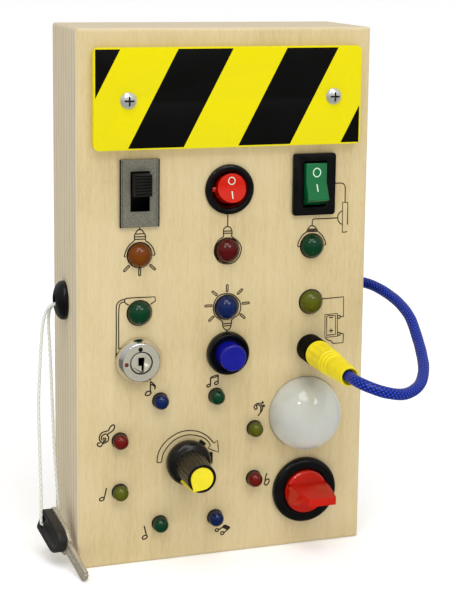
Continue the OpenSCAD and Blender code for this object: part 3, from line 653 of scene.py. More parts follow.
def crossShadeMask(right, up, out, normal):  # painted shade on the sides and the floor of the cross in a head
    away = min(math.hypot(right - x, up - z) for x, z in plateScrews["places"])
    deep = plateScrews["low"] < out < plateScrews["top"] and (abs(normal.y) < 0.5 or out < plateScrews["floor"])
    return away < plateScrews["cross"] and deep


paintFaces(dress("plate_screws", finish["screwMetal"], 0.12).data, finish["paintedShade"], crossShadeMask)

# slide switch
dress("slide_plate", finish["greySwitch"], 0.15)
slideSwitch = {"x": -41.2, "z": 175.95, "width": 18.2, "height": 31.1, "out": 1.6}


def slideShadeStrips(look):  # thin raised black strips of painted shade along the folded long edges of the plate, and thinner ones for the crease beside each
    points, faces = [], []
    half, tall = look["width"] / 2, look["height"] / 2 - 0.05
    for side in (-1, 1):
        for inner, outer, top in ((half - 0.42, half + 0.06, 0.16), (half - 1.25, half - 1.1, 0.04)):
            a, b = sorted((side * inner, side * outer))
            base, low, high = len(points), look["out"] - 0.3, look["out"] + top
            for z in (-tall, tall):
                points += [(a, z, low), (a, z, high - 0.03), (a + 0.04, z, high), (b - 0.04, z, high),
                           (b, z, high - 0.03), (b, z, low)]
            faces += [(base + k, base + (k + 1) % 6, base + 6 + (k + 1) % 6, base + 6 + k) for k in range(6)]
            faces += [tuple(base + k for k in range(6)), tuple(base + 6 + k for k in range(6))]
    return meshFrom("slideShadeStrips", points, faces, atFront(look["x"], look["z"]))


addPiece("slideShadeStrips", slideShadeStrips(slideSwitch), finish["blackMatte"], "board", ())
dress("slide_knob", finish["blackMatte"], 0.15)
coverNode("slide_housing", finish["blackMatte"])

# rockers, each with the slopes that its marks lie on
squareSwitch = {"x": columns["right"], "z": 177.0, "tilt": 14, "pivot": -1, "mid": 5.6, "tip": 7.7, "half": 8.6}
roundSwitch = {"x": 1.5, "z": rows["switch"], "tilt": 12, "pivot": -1.2, "mid": 5, "tip": 6.4, "half": 6.8}
roundBezel = {"rim": 11.65, "open": 8.2, "tube": 10, "back": -20, "floor": -10}
roundBezelProfile = roundedProfile([
    (0, roundBezel["back"]), (roundBezel["tube"], roundBezel["back"], 0.5), (roundBezel["tube"], board["seat"]),
    (roundBezel["rim"], board["seat"]), (roundBezel["rim"], 1.3, 1.0), (roundBezel["rim"] - 1.3, 2.1, 0.9),
    (roundBezel["open"] + 0.9, 1.8, 0.8), (roundBezel["open"], 0.9, 0.5),
    (roundBezel["open"], roundBezel["floor"], 0.5), (0, roundBezel["floor"])], 6)
bezelMesh = turnedPiece("roundBezelLook", "round_rocker_housing", "board", finish["black"], roundBezelProfile,
                        atFront(roundSwitch["x"], roundSwitch["z"]), 96).data


def inBezel(right, up, out, normal):  # painted red glow: the lit red of the translucent rocker laid on the bezel's inner wall around it
    reach = math.hypot(right - roundSwitch["x"], up - roundSwitch["z"])
    return reach < roundBezel["open"] + 0.3 and roundBezel["floor"] + 0.1 < out < 0.95


paintFaces(bezelMesh, finish["paintedRedGlow"], inBezel)
dress("round_rocker", finish["redClear"], 0.5, 3)
dress("square_rocker_housing", finish["black"], 0.35, 2)
dress("square_rocker", finish["greenClear"], 0.3, 2)
coverNode("switch_terminals", finish["brass"])

# lamps, with two legs each, and the milky dome
largeLamp = {"r": 5.75, "out": 5.2, "foot": -11, "footR": 7.05, "flange": 1.2, "legs": -19, "dark": 0.75}
smallLamp = {"r": 3.6, "out": 6.0, "foot": -8.6, "footR": 3.85, "flange": 1.2, "legs": -19, "dark": 2.5}
ring = {"x": -17.4, "z": 48.3, "a": 35.4, "b": 32.3}


def lampProfile(look):
    r, out, foot = look["r"], look["out"], look["foot"]
    collar = [(r, 0.2)] if out > r else []
    return quarterArc(r, 16, out - r) + collar + [
        (r, foot + look["flange"]), (look["footR"], foot + look["flange"]), (look["footR"], foot), (0, foot)]


def lampLegs(low, high):
    points, faces = [], []
    for side in (-1.27, 1.27):
        base = len(points)
        for x, y in ((-0.3, -0.3), (0.3, -0.3), (0.3, 0.3), (-0.3, 0.3)):
            points += [(side + x, y, low), (side + x, y, high)]
        for k in range(4):
            a, b = base + 2 * k, base + 2 * ((k + 1) % 4)
            faces.append((a, b, b + 1, a + 1))
        faces += [tuple(base + 2 * k for k in range(4)), tuple(base + 2 * k + 1 for k in range(4))]
    return points, faces


def lampGroup(node, mat, places, look):  # painted shade: the foot of each lamp is coloured dark where it sits in its hole
    bm = bmesh.new()
    for x, z in places:
        bm.from_mesh(turnedMesh("lamp", lampProfile(look), atFront(x, z), 48))
        points, faces = lampLegs(look["legs"], look["foot"])
        bm.from_mesh(meshFrom("legs", points, faces, atFront(x, z)))
    mesh = meshOf(bm, node + "Look")
    smoothMesh(mesh, 40)
    addPiece(node + "Look", mesh, mat, "board", (node,))
    # painted shade on each lamp's foot, below the 'dark' height
    paintFaces(mesh, finish["paintedShade"], lambda right, up, out, normal: -1 < out < look["dark"])


def ringPlace(k):
    a = math.radians(22.5 + 45 * k)
    return ring["x"] + ring["a"] * math.cos(a), ring["z"] + ring["b"] * math.sin(a)


for node, mat, spots in (("led_amber", "amberLamp", (("left", "lampA"),)),
                         ("led_red", "darkRedLamp", (("middle", "lampA"),)),
                         ("led_green", "greenLamp", (("right", "lampA"), ("left", "lampB"))),
                         ("led_blue", "blueLamp", (("middle", "lampB"),)),
                         ("led_olive", "oliveLamp", (("right", "lampB"),))):
    lampGroup(node, finish[mat], [(columns[column], rows[row]) for column, row in spots], largeLamp)
for node, mat, pair in (("small_leds_olive", "oliveLamp", (0, 4)), ("small_leds_green", "greenLamp", (1, 5)),
                        ("small_leds_blue", "blueLamp", (2, 6)), ("small_leds_red", "redLamp", (3, 7))):
    lampGroup(node, finish[mat], [ringPlace(k) for k in pair], smallLamp)
coverNode("circuit_board", finish["boardGreen"])
coverNode("lamp_board", finish["boardGreen"])
coverNode("lamp_led", finish["lampWhite"])
dome = {"x": 40.5, "z": 66.2, "r": 17.7, "wall": 2.0, "lip": 1.6, "lipTop": -9, "foot": -11}
domeProfile = quarterArc(dome["r"], 32)
domeProfile += [(dome["r"], dome["lipTop"]), (dome["r"] + dome["lip"], dome["lipTop"]),
                (dome["r"] + dome["lip"], dome["foot"]), (dome["r"] - dome["wall"], dome["foot"])]
domeProfile += reversed(quarterArc(dome["r"] - dome["wall"], 24))
turnedPiece("domeLensLook", "dome_lens", "board", finish["milky"], domeProfile,
            atFront(dome["x"], dome["z"]), 128)
print("case, switches and lamps done")

# key lock
lock = {"x": -41.35, "z": 98.4, "rim": 10.8, "face": 8.8, "out": 5.8, "bore": 5.05, "keyway": 4.8,
        "tube": 9.2, "back": -24, "shaft": 4.05, "floor": -20}
lockProfile = roundedProfile([
    (lock["shaft"], lock["back"]), (lock["tube"], lock["back"], 0.4), (lock["tube"], board["seat"]),
    (lock["rim"], board["seat"]), (lock["rim"], 2.4, 0.8), (lock["rim"] - 0.5, 3.6, 0.5),
    (lock["face"], lock["out"], 0.3), (lock["bore"] + 0.32, lock["out"]), (lock["bore"], lock["out"] - 0.6),
    (lock["bore"], lock["floor"]), (lock["shaft"], lock["floor"]), (lock["shaft"], lock["back"])])
lockMesh = turnedPiece("lockBodyLook", "lock_body", "board", finish["chrome"], lockProfile,
                       atFront(lock["x"], lock["z"]), 128).data


def onLockFace(right, up, out, normal):
    return out > lock["out"] - 0.02 and normal.y < -0.9


# painted shade on the walls of the lock's bore
def inLockBore(right, up, out, normal):
    reach = math.hypot(right - lock["x"], up - lock["z"])
    return out > 0 and reach < lock["bore"] + 0.3 and not onLockFace(right, up, out, normal)


def darkInPlug(right, up, out, normal):  # painted shade in the keyway and on the slope round the face, but for the slope's foot, which catches light
    right, up = right - lock["x"], up - lock["z"]
    reach = math.hypot(right, up)
    if reach < 4.4 and -19 < out < 5.2:
        return True
    edge = out > 0 and (reach > 4.68 or (reach < 4.6 and abs(normal.y) < 0.4)) and normal.y > -0.9
    return edge and (reach < 4.68 or not -2.2 < right < 2.2 or up > 0)


paintFaces(lockMesh, finish["satinMetal"], onLockFace)
paintFaces(lockMesh, finish["paintedShade"], inLockBore)
plugMesh = dress("lock_plug", finish["satinMetal"], 0.12).data
for vertex in plugMesh.vertices:
    right, up, out = fromFront(vertex.co)
    right, up = right - lock["x"], up - lock["z"]
    reach = math.hypot(right, up)
    if reach < lock["keyway"] and out > -18.5:  # the keyway is a little wider than the cut
        vertex.co.x += 0.5 * mm if right > -1.1 else 0
        vertex.co.z -= 0.7 * mm if -0.85 < up < -0.2 else 0
    elif reach > lock["keyway"] and out > 5.4:  # a slope round the face
        vertex.co.x -= 0.05 * right * mm
        vertex.co.z -= 0.05 * up * mm
paintFaces(plugMesh, finish["paintedShade"], darkInPlug)
coverNode("lock_nut", finish["steel"])
coverNode("lock_contact_block", finish["blackMatte"])

# push button, whose spring shortens as the cap goes in; here the spring only gets a mesh of its own
button = {"x": 1.4, "z": 98.6, "rim": 10.2, "tube": 8, "bore": 7.2, "neck": 6.3, "back": -18, "step": -4,
          "capR": 6.2, "capOut": 10.8, "capFoot": 7, "capBack": -6, "travel": 3.5}
buttonPlace = atFront(button["x"], button["z"])
buttonBezel = roundedProfile([
    (button["bore"], button["back"]), (button["tube"], button["back"], 0.3), (button["tube"], board["seat"]),
    (button["rim"], board["seat"]), (button["rim"], 2.6, 0.8), (button["rim"] - 0.8, 4, 0.5),
    (button["rim"] - 1.6, 3.9, 0.5), (7.1, 2.4, 0.6), (button["neck"], 2.4, 0.1),
    (button["neck"], button["step"]), (button["bore"], button["step"]), (button["bore"], button["back"])])
buttonCap = roundedProfile([
    (0, button["capBack"]), (button["capFoot"], button["capBack"]), (button["capFoot"], button["step"] - 0.1),
    (button["capR"], button["step"] - 0.1), (button["capR"], button["capOut"], 1.3),
    (3.5, button["capOut"], 0.5), (0, button["capOut"] - 0.15)])
turnedPiece("buttonBezelLook", "button_housing", "board", finish["black"], buttonBezel, buttonPlace, 96)
turnedPiece("buttonCapLook", "button_cap", "button_cap", finish["blueCap"], buttonCap, buttonPlace, 96)
coverNode("button_nut", finish["blackMatte"])
spring = dress("button_spring", finish["steel"], 0)
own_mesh(spring)

# jack and plug
plug = {"x": columns["right"] - 0.1, "start": 11.0, "r": 6.45, "ribs": 12, "ribSpan": (1.5, 14.5),
        "ribDeep": 0.45}
plugPlace = atFront(plug["x"], rows["control"])
jackNut = roundedProfile([(4.65, 0), (6.6, 0, 0.2), (6.6, 10.5, 0.8), (3.6, 10.5, 0.3), (3.6, 9.6), (4.65, 9.6),
                          (4.65, 0)])
turnedPiece("jackNutLook", "jack_nut", "board", finish["jackBlack"], jackNut, plugPlace, 96)
coverNode("jack_socket", finish["blackMatte"])
coverNode("plug_pin", finish["steel"])


def gripRipple(r, z, a):  # raised long ribs on the front part of the grip
    s = z - plug["start"]
    low, high = plug["ribSpan"]
    if s < low or s > high or r < 5.6:
        return 0.0
    fade = min(1, (s - low) / 1.5, (high - s) / 1.5)
    wave = max(0.0, math.cos(plug["ribs"] * a)) ** 0.6
    return -plug["ribDeep"] * fade * (1 - wave)


gripCurve = [(3.3, 0), (5.8, 0, 0.3), (plug["r"], 0.8, 0.4)]  # out is measured from the grip's start
gripCurve += [(plug["r"] - 0.03 * k, 1.2 + 0.9 * k) for k in range(15)]
gripCurve += [(6.0, 16.0, 0.3), (5.35, 16.5, 0.3), (5.35, 17.2, 0.3), (5.78, 17.9, 0.4), (5.72, 18.9, 0.4),
              (5.2, 19.6, 0.3), (5.2, 20.4, 0.3), (5.6, 21.1, 0.4), (5.5, 22.1, 0.4), (5.0, 22.8, 0.3),
              (5.0, 23.6, 0.3), (5.4, 24.3, 0.4), (5.3, 26, 0.6), (4.6, 37.5, 0.6), (4.3, 39, 0.5),
              (3.6, 39, 0.4), (3.3, 37.4, 0.4), (2.75, 36.8), (2.75, 30), (0, 30)]
gripProfile = roundedProfile([(r, plug["start"] + s, *fillet) for r, s, *fillet in gripCurve], 4)
turnedPiece("plugGripLook", "plug_grip", "plug", finish["yellow"], gripProfile, plugPlace, 144, gripRipple)

# selector
selector = {"x": 40.8, "z": 27.85, "ring": 15.9, "tube": 11, "bore": 7.05, "back": -22, "floor": 1.0}
selectorRing = roundedProfile([
    (selector["bore"], selector["back"]), (selector["tube"], selector["back"]),
    (selector["tube"], board["seat"]), (selector["ring"], board["seat"]), (selector["ring"], 2.2, 0.9),
    (selector["ring"] - 1.4, 3.4, 0.8),
    (11.4, 3.4, 0.6), (10.8, 2.6), (10.8, selector["floor"]), (selector["bore"], selector["floor"]),
    (selector["bore"], selector["back"])])
turnedPiece("selectorRingLook", "selector_ring", "board", finish["black"], selectorRing,
            atFront(selector["x"], selector["z"]), 128)
dress("selector_knob", finish["redClear"], 0.5, 3)
coverNode("selector_nut", finish["blackMatte"])
coverNode("selector_block", finish["blackMatte"])

# dial, ribbed above its skirt, with a yellow cap that points
dial = {"x": -17.8, "z": 47.8, "skirt": 10.7, "front": 6.7, "out": 25.0, "ribs": 18, "ribFoot": 8.2,
        "ribDeep": 0.38, "pointer": 235.8, "capR": 5.3, "capTip": 7.05}


def dialRipple(r, z, a):
    if z < dial["ribFoot"] or z > dial["out"] - 0.4:
        return 0.0
    fade = min(1, (z - dial["ribFoot"]) / 1.5)
    return -dial["ribDeep"] * fade * (0.5 + 0.5 * math.cos(dial["ribs"] * a)) ** 2


dialCurve = [(0, 1.2), (dial["skirt"] - 0.2, 1.2, 0.2), (dial["skirt"], 4.4, 1.2),
             (dial["skirt"] - 1.2, 6.4, 1.2), (7.6, 7.4, 0.7)]
dialCurve += [(7.45 - 0.75 * k / 16, 8.2 + (dial["out"] - 9.2) * k / 16) for k in range(17)]
dialCurve += [(dial["front"], dial["out"] - 0.2, 0.3), (dial["front"] - 0.3, dial["out"], 0.2),
              (5.6, dial["out"], 0.1), (5.4, dial["out"] - 0.5), (0, dial["out"] - 0.5)]
turnedPiece("dialKnobLook", "dial_knob", "dial", finish["dialBlack"], roundedProfile(dialCurve, 4),
            atFront(dial["x"], dial["z"]), 224, dialRipple)


def pointerCap(look):  # a drop-shaped cap, and a pointer that runs down the side
    r, tip = look["capR"], look["capTip"]
    turn = math.radians(look["pointer"])
    opening = math.acos(r / tip)
    outline = []
    for k in range(49):
        a = turn + opening + (2 * math.pi - 2 * opening) * k / 48
        outline.append((r * math.cos(a), r * math.sin(a)))
    outline.append((tip * math.cos(turn), tip * math.sin(turn)))
    n = len(outline)
    top, low = look["out"] + 0.35, look["out"] - 0.6
    points = [(x * 0.96, y * 0.96, top) for x, y in outline] + [(x, y, top - 0.25) for x, y in outline]
    points += [(x, y, low) for x, y in outline]
    faces = [tuple(range(n))]
    for row in (0, n):
        faces += [(row + k, row + (k + 1) % n, row + n + (k + 1) % n, row + n + k) for k in range(n)]
    faces.append(tuple(range(2 * n, 3 * n)))
    side = Vector((-math.sin(turn), math.cos(turn), 0))
    ahead = Vector((math.cos(turn), math.sin(turn), 0))
    base = len(points)
    for z, reach in ((look["out"], tip), (low, 7.25), (8.4, 8.8)):
        for s, d in ((-0.85, -1.5), (-0.6, 0.02), (0.6, 0.02), (0.85, -1.5)):
            points.append(tuple(ahead * (reach + d) + side * s + Vector((0, 0, z))))
    for row in range(2):
        for k in range(3):
            a = base + row * 4 + k
            faces.append((a, a + 1, a + 5, a + 4))
        faces.append((base + row * 4 + 3, base + row * 4, base + row * 4 + 4, base + row * 4 + 7))
    faces += [tuple(base + k for k in range(4)), tuple(base + 8 + k for k in range(4))]
    return meshFrom("dialCapLook", points, faces, atFront(look["x"], look["z"]), 30)


addPiece("dialCapLook", pointerCap(dial), finish["yellow"], "dial", ("dial_cap",))
dress("dial_washer", finish["blackMatte"], 0.15)
coverNode("dial_nut", finish["steel"])
coverNode("dial_resistor", finish["steel"])

# key: a black head with a slot and a thumb hollow, and a blank blade trimmed to the same outline
key = {"at": (-70.04, -41.5, 2.4), "yaw": 14, "pitch": 21.8, "roll": 7.9, "start": 20, "bow": 21.8,
       "black": 4.5, "half": 5.7, "edge": 6.5, "blade": 4.3, "slot": (38.4, 2.4, 6.0)}
thumb = {"along": 29.2, "above": 1.2, "deep": 2.3, "long": 8.2, "wide": 4.6}
keyPlace = Matrix.Translation(Vector(key["at"]) * mm)
for axis, angle in (("Z", key["yaw"]), ("X", key["pitch"]), ("Y", key["roll"])):
    keyPlace = keyPlace @ Matrix.Rotation(math.radians(angle), 4, axis)
keyPlace = keyPlace @ Matrix.Scale(mm, 4)


def bowOutline(half, shoulder, neck=0.0):  # the rounded outline of the head, along the key and across it
    end, corner = key["start"] + key["bow"], 1.0
    points = [(end, half - corner), (end - corner * 0.3, half - corner * 0.3), (end - corner, half)]
    centre = key["start"] + shoulder
    for k in range(19):
        a = math.pi * (0.5 + k / 18)
        y, z = centre + shoulder * math.cos(a), half * math.sin(a)
        if abs(z) >= neck:
            points.append((y, z))
        elif neck and k == 9:
            points += [(key["start"], neck), (-1, neck), (-1, -neck), (key["start"], -neck)]
    return points + [(end - corner, -half), (end - corner * 0.3, -half + corner * 0.3), (end, -half + corner)]


def prism(name, outline, low, high):  # an outline along the key, from low to high through its thickness
    n = len(outline)
    points = [(x, y, z) for x in (low, high) for y, z in outline]
    faces = [tuple(range(n)), tuple(range(n, 2 * n))]
    faces += [(k, (k + 1) % n, n + (k + 1) % n, n + k) for k in range(n)]
    return meshFrom(name, points, faces, keyPlace)


def carved(mesh, cutters):  # cuts by the exact solver, kept as a plain mesh
    obj = placed("carved", mesh)
    tools = []
    for operation, cutter in cutters:
        tools.append(placed("cutter", cutter))
        modifier = obj.modifiers.new("cut", "BOOLEAN")
        modifier.operation, modifier.solver, modifier.object = operation, "EXACT", tools[-1]
    result = plainMesh(obj)
    for thing in tools + [obj]:
        bpy.data.objects.remove(thing)
    return result


def softenedPiece(node, mesh, bevel, steps, mat):  # edges rounded, then added in place of a node
    bm = bmesh.new()
    bm.from_mesh(mesh)
    bevelled(bm, 4e-6, 34, bevel, steps)
    result = meshOf(bm, node + "Look")
    smoothMesh(result, 30)
    addPiece(node + "Look", result, mat, "board", (node,))


slotY, slotWide, slotTall = key["slot"]
slotCut = prism("slotCut", [(slotY + y * slotWide / 2, z * slotTall / 2)
                            for y, z in ((-1, -1), (1, -1), (1, 1), (-1, 1))], -9, 9)
bowl = [(math.cos(a), math.sin(a)) for a in [math.pi * k / 16 - math.pi / 2 for k in range(17)]]
hollow = turnedMesh("hollow", bowl, None, 64)
hollowShape = Matrix(((0, 0, thumb["deep"]), (thumb["long"], 0, 0), (0, thumb["wide"], 0))).to_4x4()
hollowMiddle = Matrix.Translation((-key["black"] - thumb["above"], thumb["along"], 0))
hollow.transform(keyPlace @ hollowMiddle @ hollowShape)
headMesh = carved(prism("keyHeadBody", bowOutline(key["half"], 6.5), -key["black"], 0),
                  [("DIFFERENCE", slotCut), ("DIFFERENCE", hollow)])
softenedPiece("key_head", headMesh, 0.45, 3, finish["blackKey"])
bladeTrim = prism("bladeTrim", bowOutline(key["edge"], 7.2, key["blade"]), -1, 3)
bladeMesh = carved(nodes["key_blade"].data.copy(), [("INTERSECT", bladeTrim)])
softenedPiece("key_blade", bladeMesh, 0.22, 2, finish["nickel"])

# power
dress("battery_box", finish["blackMatte"], 0.3)
dress("battery_door", finish["blackMatte"], 0.4)
coverNode("batteries", finish["cellWrap"])
print("controls done")


# lines burnt into the front, swept by a small node tree
def strokeTree(name, mat):
    tree = bpy.data.node_groups.new(name, "GeometryNodeTree")
    tree.interface.new_socket(name="Geometry", in_out="INPUT", socket_type="NodeSocketGeometry")
    width = tree.interface.new_socket(name="Line width", in_out="INPUT", socket_type="NodeSocketFloat")
    tree.interface.new_socket(name="Geometry", in_out="OUTPUT", socket_type="NodeSocketGeometry")
    give, take = tree.nodes.new("NodeGroupInput"), tree.nodes.new("NodeGroupOutput")
    curve = tree.nodes.new("GeometryNodeMeshToCurve")
    half = tree.nodes.new("ShaderNodeMath")
    half.operation = "MULTIPLY"
    half.inputs[1].default_value = 0.5
    circle = tree.nodes.new("GeometryNodeCurvePrimitiveCircle")
    circle.inputs["Resolution"].default_value = 8
    sweep = tree.nodes.new("GeometryNodeCurveToMesh")
    sweep.inputs["Fill Caps"].default_value = True
    whole = tree.nodes.new("GeometryNodeRealizeInstances")
    paint = tree.nodes.new("GeometryNodeSetMaterial")
    paint.inputs["Material"].default_value = mat
    for output, socket in ((give.outputs["Geometry"], curve.inputs["Mesh"]),
                           (give.outputs["Line width"], half.inputs[0]),
                           (half.outputs[0], circle.inputs["Radius"]),
                           (curve.outputs["Curve"], sweep.inputs["Curve"]),
                           (circle.outputs["Curve"], sweep.inputs["Profile Curve"]),
                           (sweep.outputs["Mesh"], whole.inputs["Geometry"]),
                           (whole.outputs["Geometry"], paint.inputs["Geometry"]),
                           (paint.outputs["Geometry"], take.inputs["Geometry"])):
        tree.links.new(output, socket)
    return tree, width.identifier


def strokesPiece(name, strokes, width, thick, mat, body, place):
    points, edges = [], []
    for stroke in strokes:
        loop = len(stroke) > 2 and stroke[0] == stroke[-1]
        base, kept = len(points), stroke[:-1] if loop else stroke
        points += [(p[0], p[1], 0) for p in kept]
        edges += [(base + i, base + i + 1) for i in range(len(kept) - 1)]
        if loop:
            edges.append((base + len(kept) - 1, base))
    mesh = bpy.data.meshes.new(name)
    mesh.from_pydata(points, edges, [])
    obj = placed(name, mesh)
    tree, socket = strokeTree(name + "Lines", mat)
    modifier = obj.modifiers.new("lines", "NODES")
    modifier.node_group = tree
    modifier[socket] = width
    swept = plainMesh(obj)
    bpy.data.objects.remove(obj)
    swept.transform(Matrix.Scale(2 * thick / width, 4, Vector((0, 0, 1))))
    swept.transform(place)
    smoothMesh(swept, 60)
    addPiece(name, swept, mat, body, ())


def arc(cx, cz, r, a0, a1, steps=24, rz=None):
    return [(cx + r * math.cos(math.radians(a0 + (a1 - a0) * k / steps)),
             cz + (rz or r) * math.sin(math.radians(a0 + (a1 - a0) * k / steps))) for k in range(steps + 1)]


def loopOf(cx, cz, r, rz=None, steps=32):
    points = arc(cx, cz, r, 0, 360, steps, rz)
    return points[:-1] + [points[0]]


def ray(a, b):  # the outline of a short ray with round ends
    half = 0.42
    a, b = Vector(a), Vector(b)
    turn = math.degrees(math.atan2(b.y - a.y, b.x - a.x))
    points = arc(a.x, a.y, half, turn + 90, turn + 270, 6) + arc(b.x, b.y, half, turn - 90, turn + 90, 6)
    return points + [points[0]]


def bend(points, steps=5):
    return [(p.x, p.y) for p in smoothPath([(x, z, 0) for x, z in points], steps)]


def noteHead(x, z, w, h, lean):
    c, s = math.cos(math.radians(lean)), math.sin(math.radians(lean))
    points = [(x + w * math.cos(a) * c - h * math.sin(a) * s, z + w * math.cos(a) * s + h * math.sin(a) * c)
              for a in [2 * math.pi * k / 20 for k in range(20)]]
    return points + [points[0]]


# right and up on the front, in mm
circuitLines = [
    [(-40.9, 160.4), (-40.8, 159.2)], bend([(-42.8, 157.3), (-42.3, 158.3), (-41.5, 159), (-40.8, 159.2),
        (-39.9, 158.9), (-39.2, 158.1), (-38.6, 157.1)]), bend([(-42.8, 157.3), (-43.3, 156.7), (-43.3, 155.8),
        (-43.2, 154.5), (-44.1, 153.5), (-45.3, 152.6), (-46.4, 151.2), (-47.2, 149.6), (-47.7, 148.2),
        (-47.9, 147.2), (-47.3, 146.9)]), bend([(-38.6, 157.1), (-38.1, 156.4), (-38.1, 155.6), (-38.2, 154.4),
        (-37.8, 153.7), (-36.7, 152.9), (-35.3, 151.4), (-34.4, 149.8), (-33.9, 148.3), (-33.8, 147.1),
        (-34.7, 147.1)]), [(-42.8, 157.1), (-38.6, 157.2)], [(-43.3, 155.9), (-38.2, 155.8)],
    [(-43.2, 154.7), (-38.3, 154.7)], ray((-46, 142.4), (-47.9, 140.5)),
    ray((-40.8, 140.7), (-40.8, 138.2)), ray((-35.7, 142.3), (-33.8, 140.5)),
    bend([(-51.9, 97.2), (-51.8, 104.1), (-51.7, 110.6), (-51.7, 117.7), (-51.7, 123.3), (-51.4, 125.1),
        (-50.6, 126.2), (-49.4, 126.9), (-47.9, 127.2)]), bend([(-50.6, 104), (-50.6, 110.6), (-50.6, 117.6),
        (-50.5, 122.3), (-50.3, 124.4), (-49.7, 125.5), (-48.8, 125.9), (-47.9, 126)]),
    [(-47.3, 127.6), (-47.8, 127.1), (-47.8, 126), (-47.2, 125.2), (-45.8, 124.3)],
    [(-47.3, 127.6), (-44.3, 127.7), (-39.1, 127.6), (-33.6, 127.5), (-33.4, 125.6), (-35.7, 124.1)],
    [(0.9, 164.2), (0.9, 158.7)], bend([(-1.1, 156.5), (-0.9, 157.5), (-0.2, 158.2), (0.8, 158.6), (2, 158.2),
        (2.7, 157.4), (3, 156.4)]), bend([(-1.1, 156.5), (-1.1, 155.6), (-1, 154.7), (-1.1, 153.9),
        (-2.5, 153), (-4, 151.6), (-5, 149.7), (-5.4, 147.8), (-5.3, 146), (-4.6, 144.3), (-3.4, 142.6),
        (-1.7, 141.5), (0.8, 141), (3.2, 141.2), (5.1, 142.3), (6.6, 144), (7.5, 146.2), (7.7, 148.1),
        (7, 150.1), (5.5, 151.9), (3.8, 153.1), (2.9, 154), (3.1, 155.2), (3, 156.4)]),
    [(-1.1, 156.5), (3, 156.4)], [(-1.1, 155.5), (3, 155.4)],
    bend([(-1.1, 113.3), (-1.6, 114.2), (-3.1, 115.3), (-4.4, 116.4), (-5.2, 118.1), (-5.6, 119.8),
        (-5.5, 121.7), (-4.9, 123.6), (-3.8, 125.3), (-2.3, 126.4), (-0.6, 126.8), (1.1, 126.9), (2.8, 126.6),
        (4.6, 125.8), (6, 124.4), (7.2, 122.8), (7.8, 120.9), (7.7, 118.9), (7.1, 117.2), (5.9, 115.9),
        (4.2, 114.9), (3.4, 114), (3.3, 112.8), (3.1, 111.4), (2.8, 110.4), (2, 109.6), (1, 109.4),
        (0.2, 109.9), (-0.5, 110.6), (-0.9, 111.7), (-1.1, 113.3)]), [(-1, 112.5), (3.2, 112.6)],
    [(-0.9, 111.5), (3.1, 111.5)], [(1, 109.4), (1.1, 107.2)], ray((1.1, 130.7), (1, 128.2)),
    ray((8.2, 128.3), (6.4, 126.6)), ray((-5.9, 128.1), (-4.1, 126.6)),
    ray((-9.3, 121.6), (-6.6, 121.6)), ray((8.9, 121.7), (11.6, 121.8)),
    ray((-5.6, 116.2), (-7.4, 114.6)), ray((7.9, 116.4), (9.6, 114.8)),
    [(42.7, 159.5), (42.6, 157)], bend([(40, 154.3), (40.4, 155.3), (41.2, 156.4), (42, 157), (42.6, 157),
        (43.7, 156.7), (44.5, 155.9), (45.2, 154.8), (45.4, 154.2)]), [(40.6, 155.4), (44.8, 155.4)],
    [(40.4, 154.8), (45.1, 154.8)], [(40, 154.2), (45.4, 154.2)], bend([(40, 154.3), (39, 153.6),
        (37.7, 152.5), (36.8, 151.1), (36, 149.7), (35.7, 148.3), (35.7, 147.4), (36.6, 147.3)]),
    bend([(45.4, 154.2), (46.5, 153.4), (47.8, 152), (48.9, 150.2), (49.5, 148.8), (49.6, 147.6),
        (48.9, 147.5)]),
    [(53.9, 176.8), (56.7, 176.8), (57.9, 176.5), (58.7, 175.5), (59, 174.1), (59, 171), (59, 167.6)],
    [(60.5, 156.7), (60.4, 167.4), (57.8, 167.5), (58, 153.2), (59.1, 153.1), (60.4, 153.4)],
    bend([(57.8, 163.4), (56.8, 163), (56, 162.1), (55.5, 161.1), (55.5, 160), (55.7, 158.9), (56.4, 157.9),
        (57.2, 157.2), (57.9, 157)]), [(55.5, 160.2), (49.5, 160.1), (43.9, 160.2), (43, 160), (42.7, 159.5)],
    [(48.6, 121.4), (54, 121.5), (59.4, 121.7), (59.6, 112), (58.1, 112)],
    [(50.1, 113.6), (56.4, 113.7), (56.8, 102.5), (50.3, 102.4), (50.1, 113.6)], [(51, 112.5), (51.7, 113),
        (55.5, 112.8), (55.7, 103.5), (51.9, 103.4), (51.2, 103.2), (51, 112.5)], [(52.2, 112), (54.3, 112)],
    [(52.3, 105.5), (54.5, 105.5)], [(53.4, 106.5), (53.4, 104.5)], loopOf(57.3, 112, 0.72, 0.72, 16),
    loopOf(57.5, 103.6, 0.72, 0.72, 16), [(58.3, 103.7), (59.5, 103.7), (59.8, 103.1), (59.7, 99.1),
        (54.6, 99.1), (53.9, 99.9), (53.2, 100.6), (52.2, 100.8), (50.6, 101.9)],
    [(-32.3, 48.8), (-32.1, 50.9), (-31.6, 53.1), (-30.4, 55.4), (-29, 57.2), (-27.1, 59), (-24.9, 60.4),
        (-22.7, 61.5), (-20.3, 62.2), (-17.9, 62.4), (-15.4, 62.2), (-13.5, 61.8), (-11.5, 61.1), (-9.6, 60),
        (-7.6, 58.5), (-6.1, 56.8), (-5, 55.5), (-4.3, 55.1), (-2.9, 56.3), (-2.6, 53.4), (-2.2, 50.4),
        (-4.8, 51.4), (-7.6, 52.9), (-6.4, 54.1), (-7.3, 55.9), (-8.8, 57.5), (-10.5, 58.6), (-13, 59.5),
        (-15.4, 60.1), (-17.4, 60.3), (-19.8, 60), (-22.2, 59.3), (-24.4, 58.1), (-26.3, 56.5), (-28, 54.4),
        (-29.2, 52.6), (-29.8, 50.7), (-30.1, 48.5), (-30.6, 48.1), (-32.2, 48.2), (-32.3, 48.8)],
    [(-6.6, 87.3), (-4.9, 87.8), (-2.9, 88.1)], [(-6.6, 86.8), (-4.7, 87.1), (-2.9, 87.5)],
]
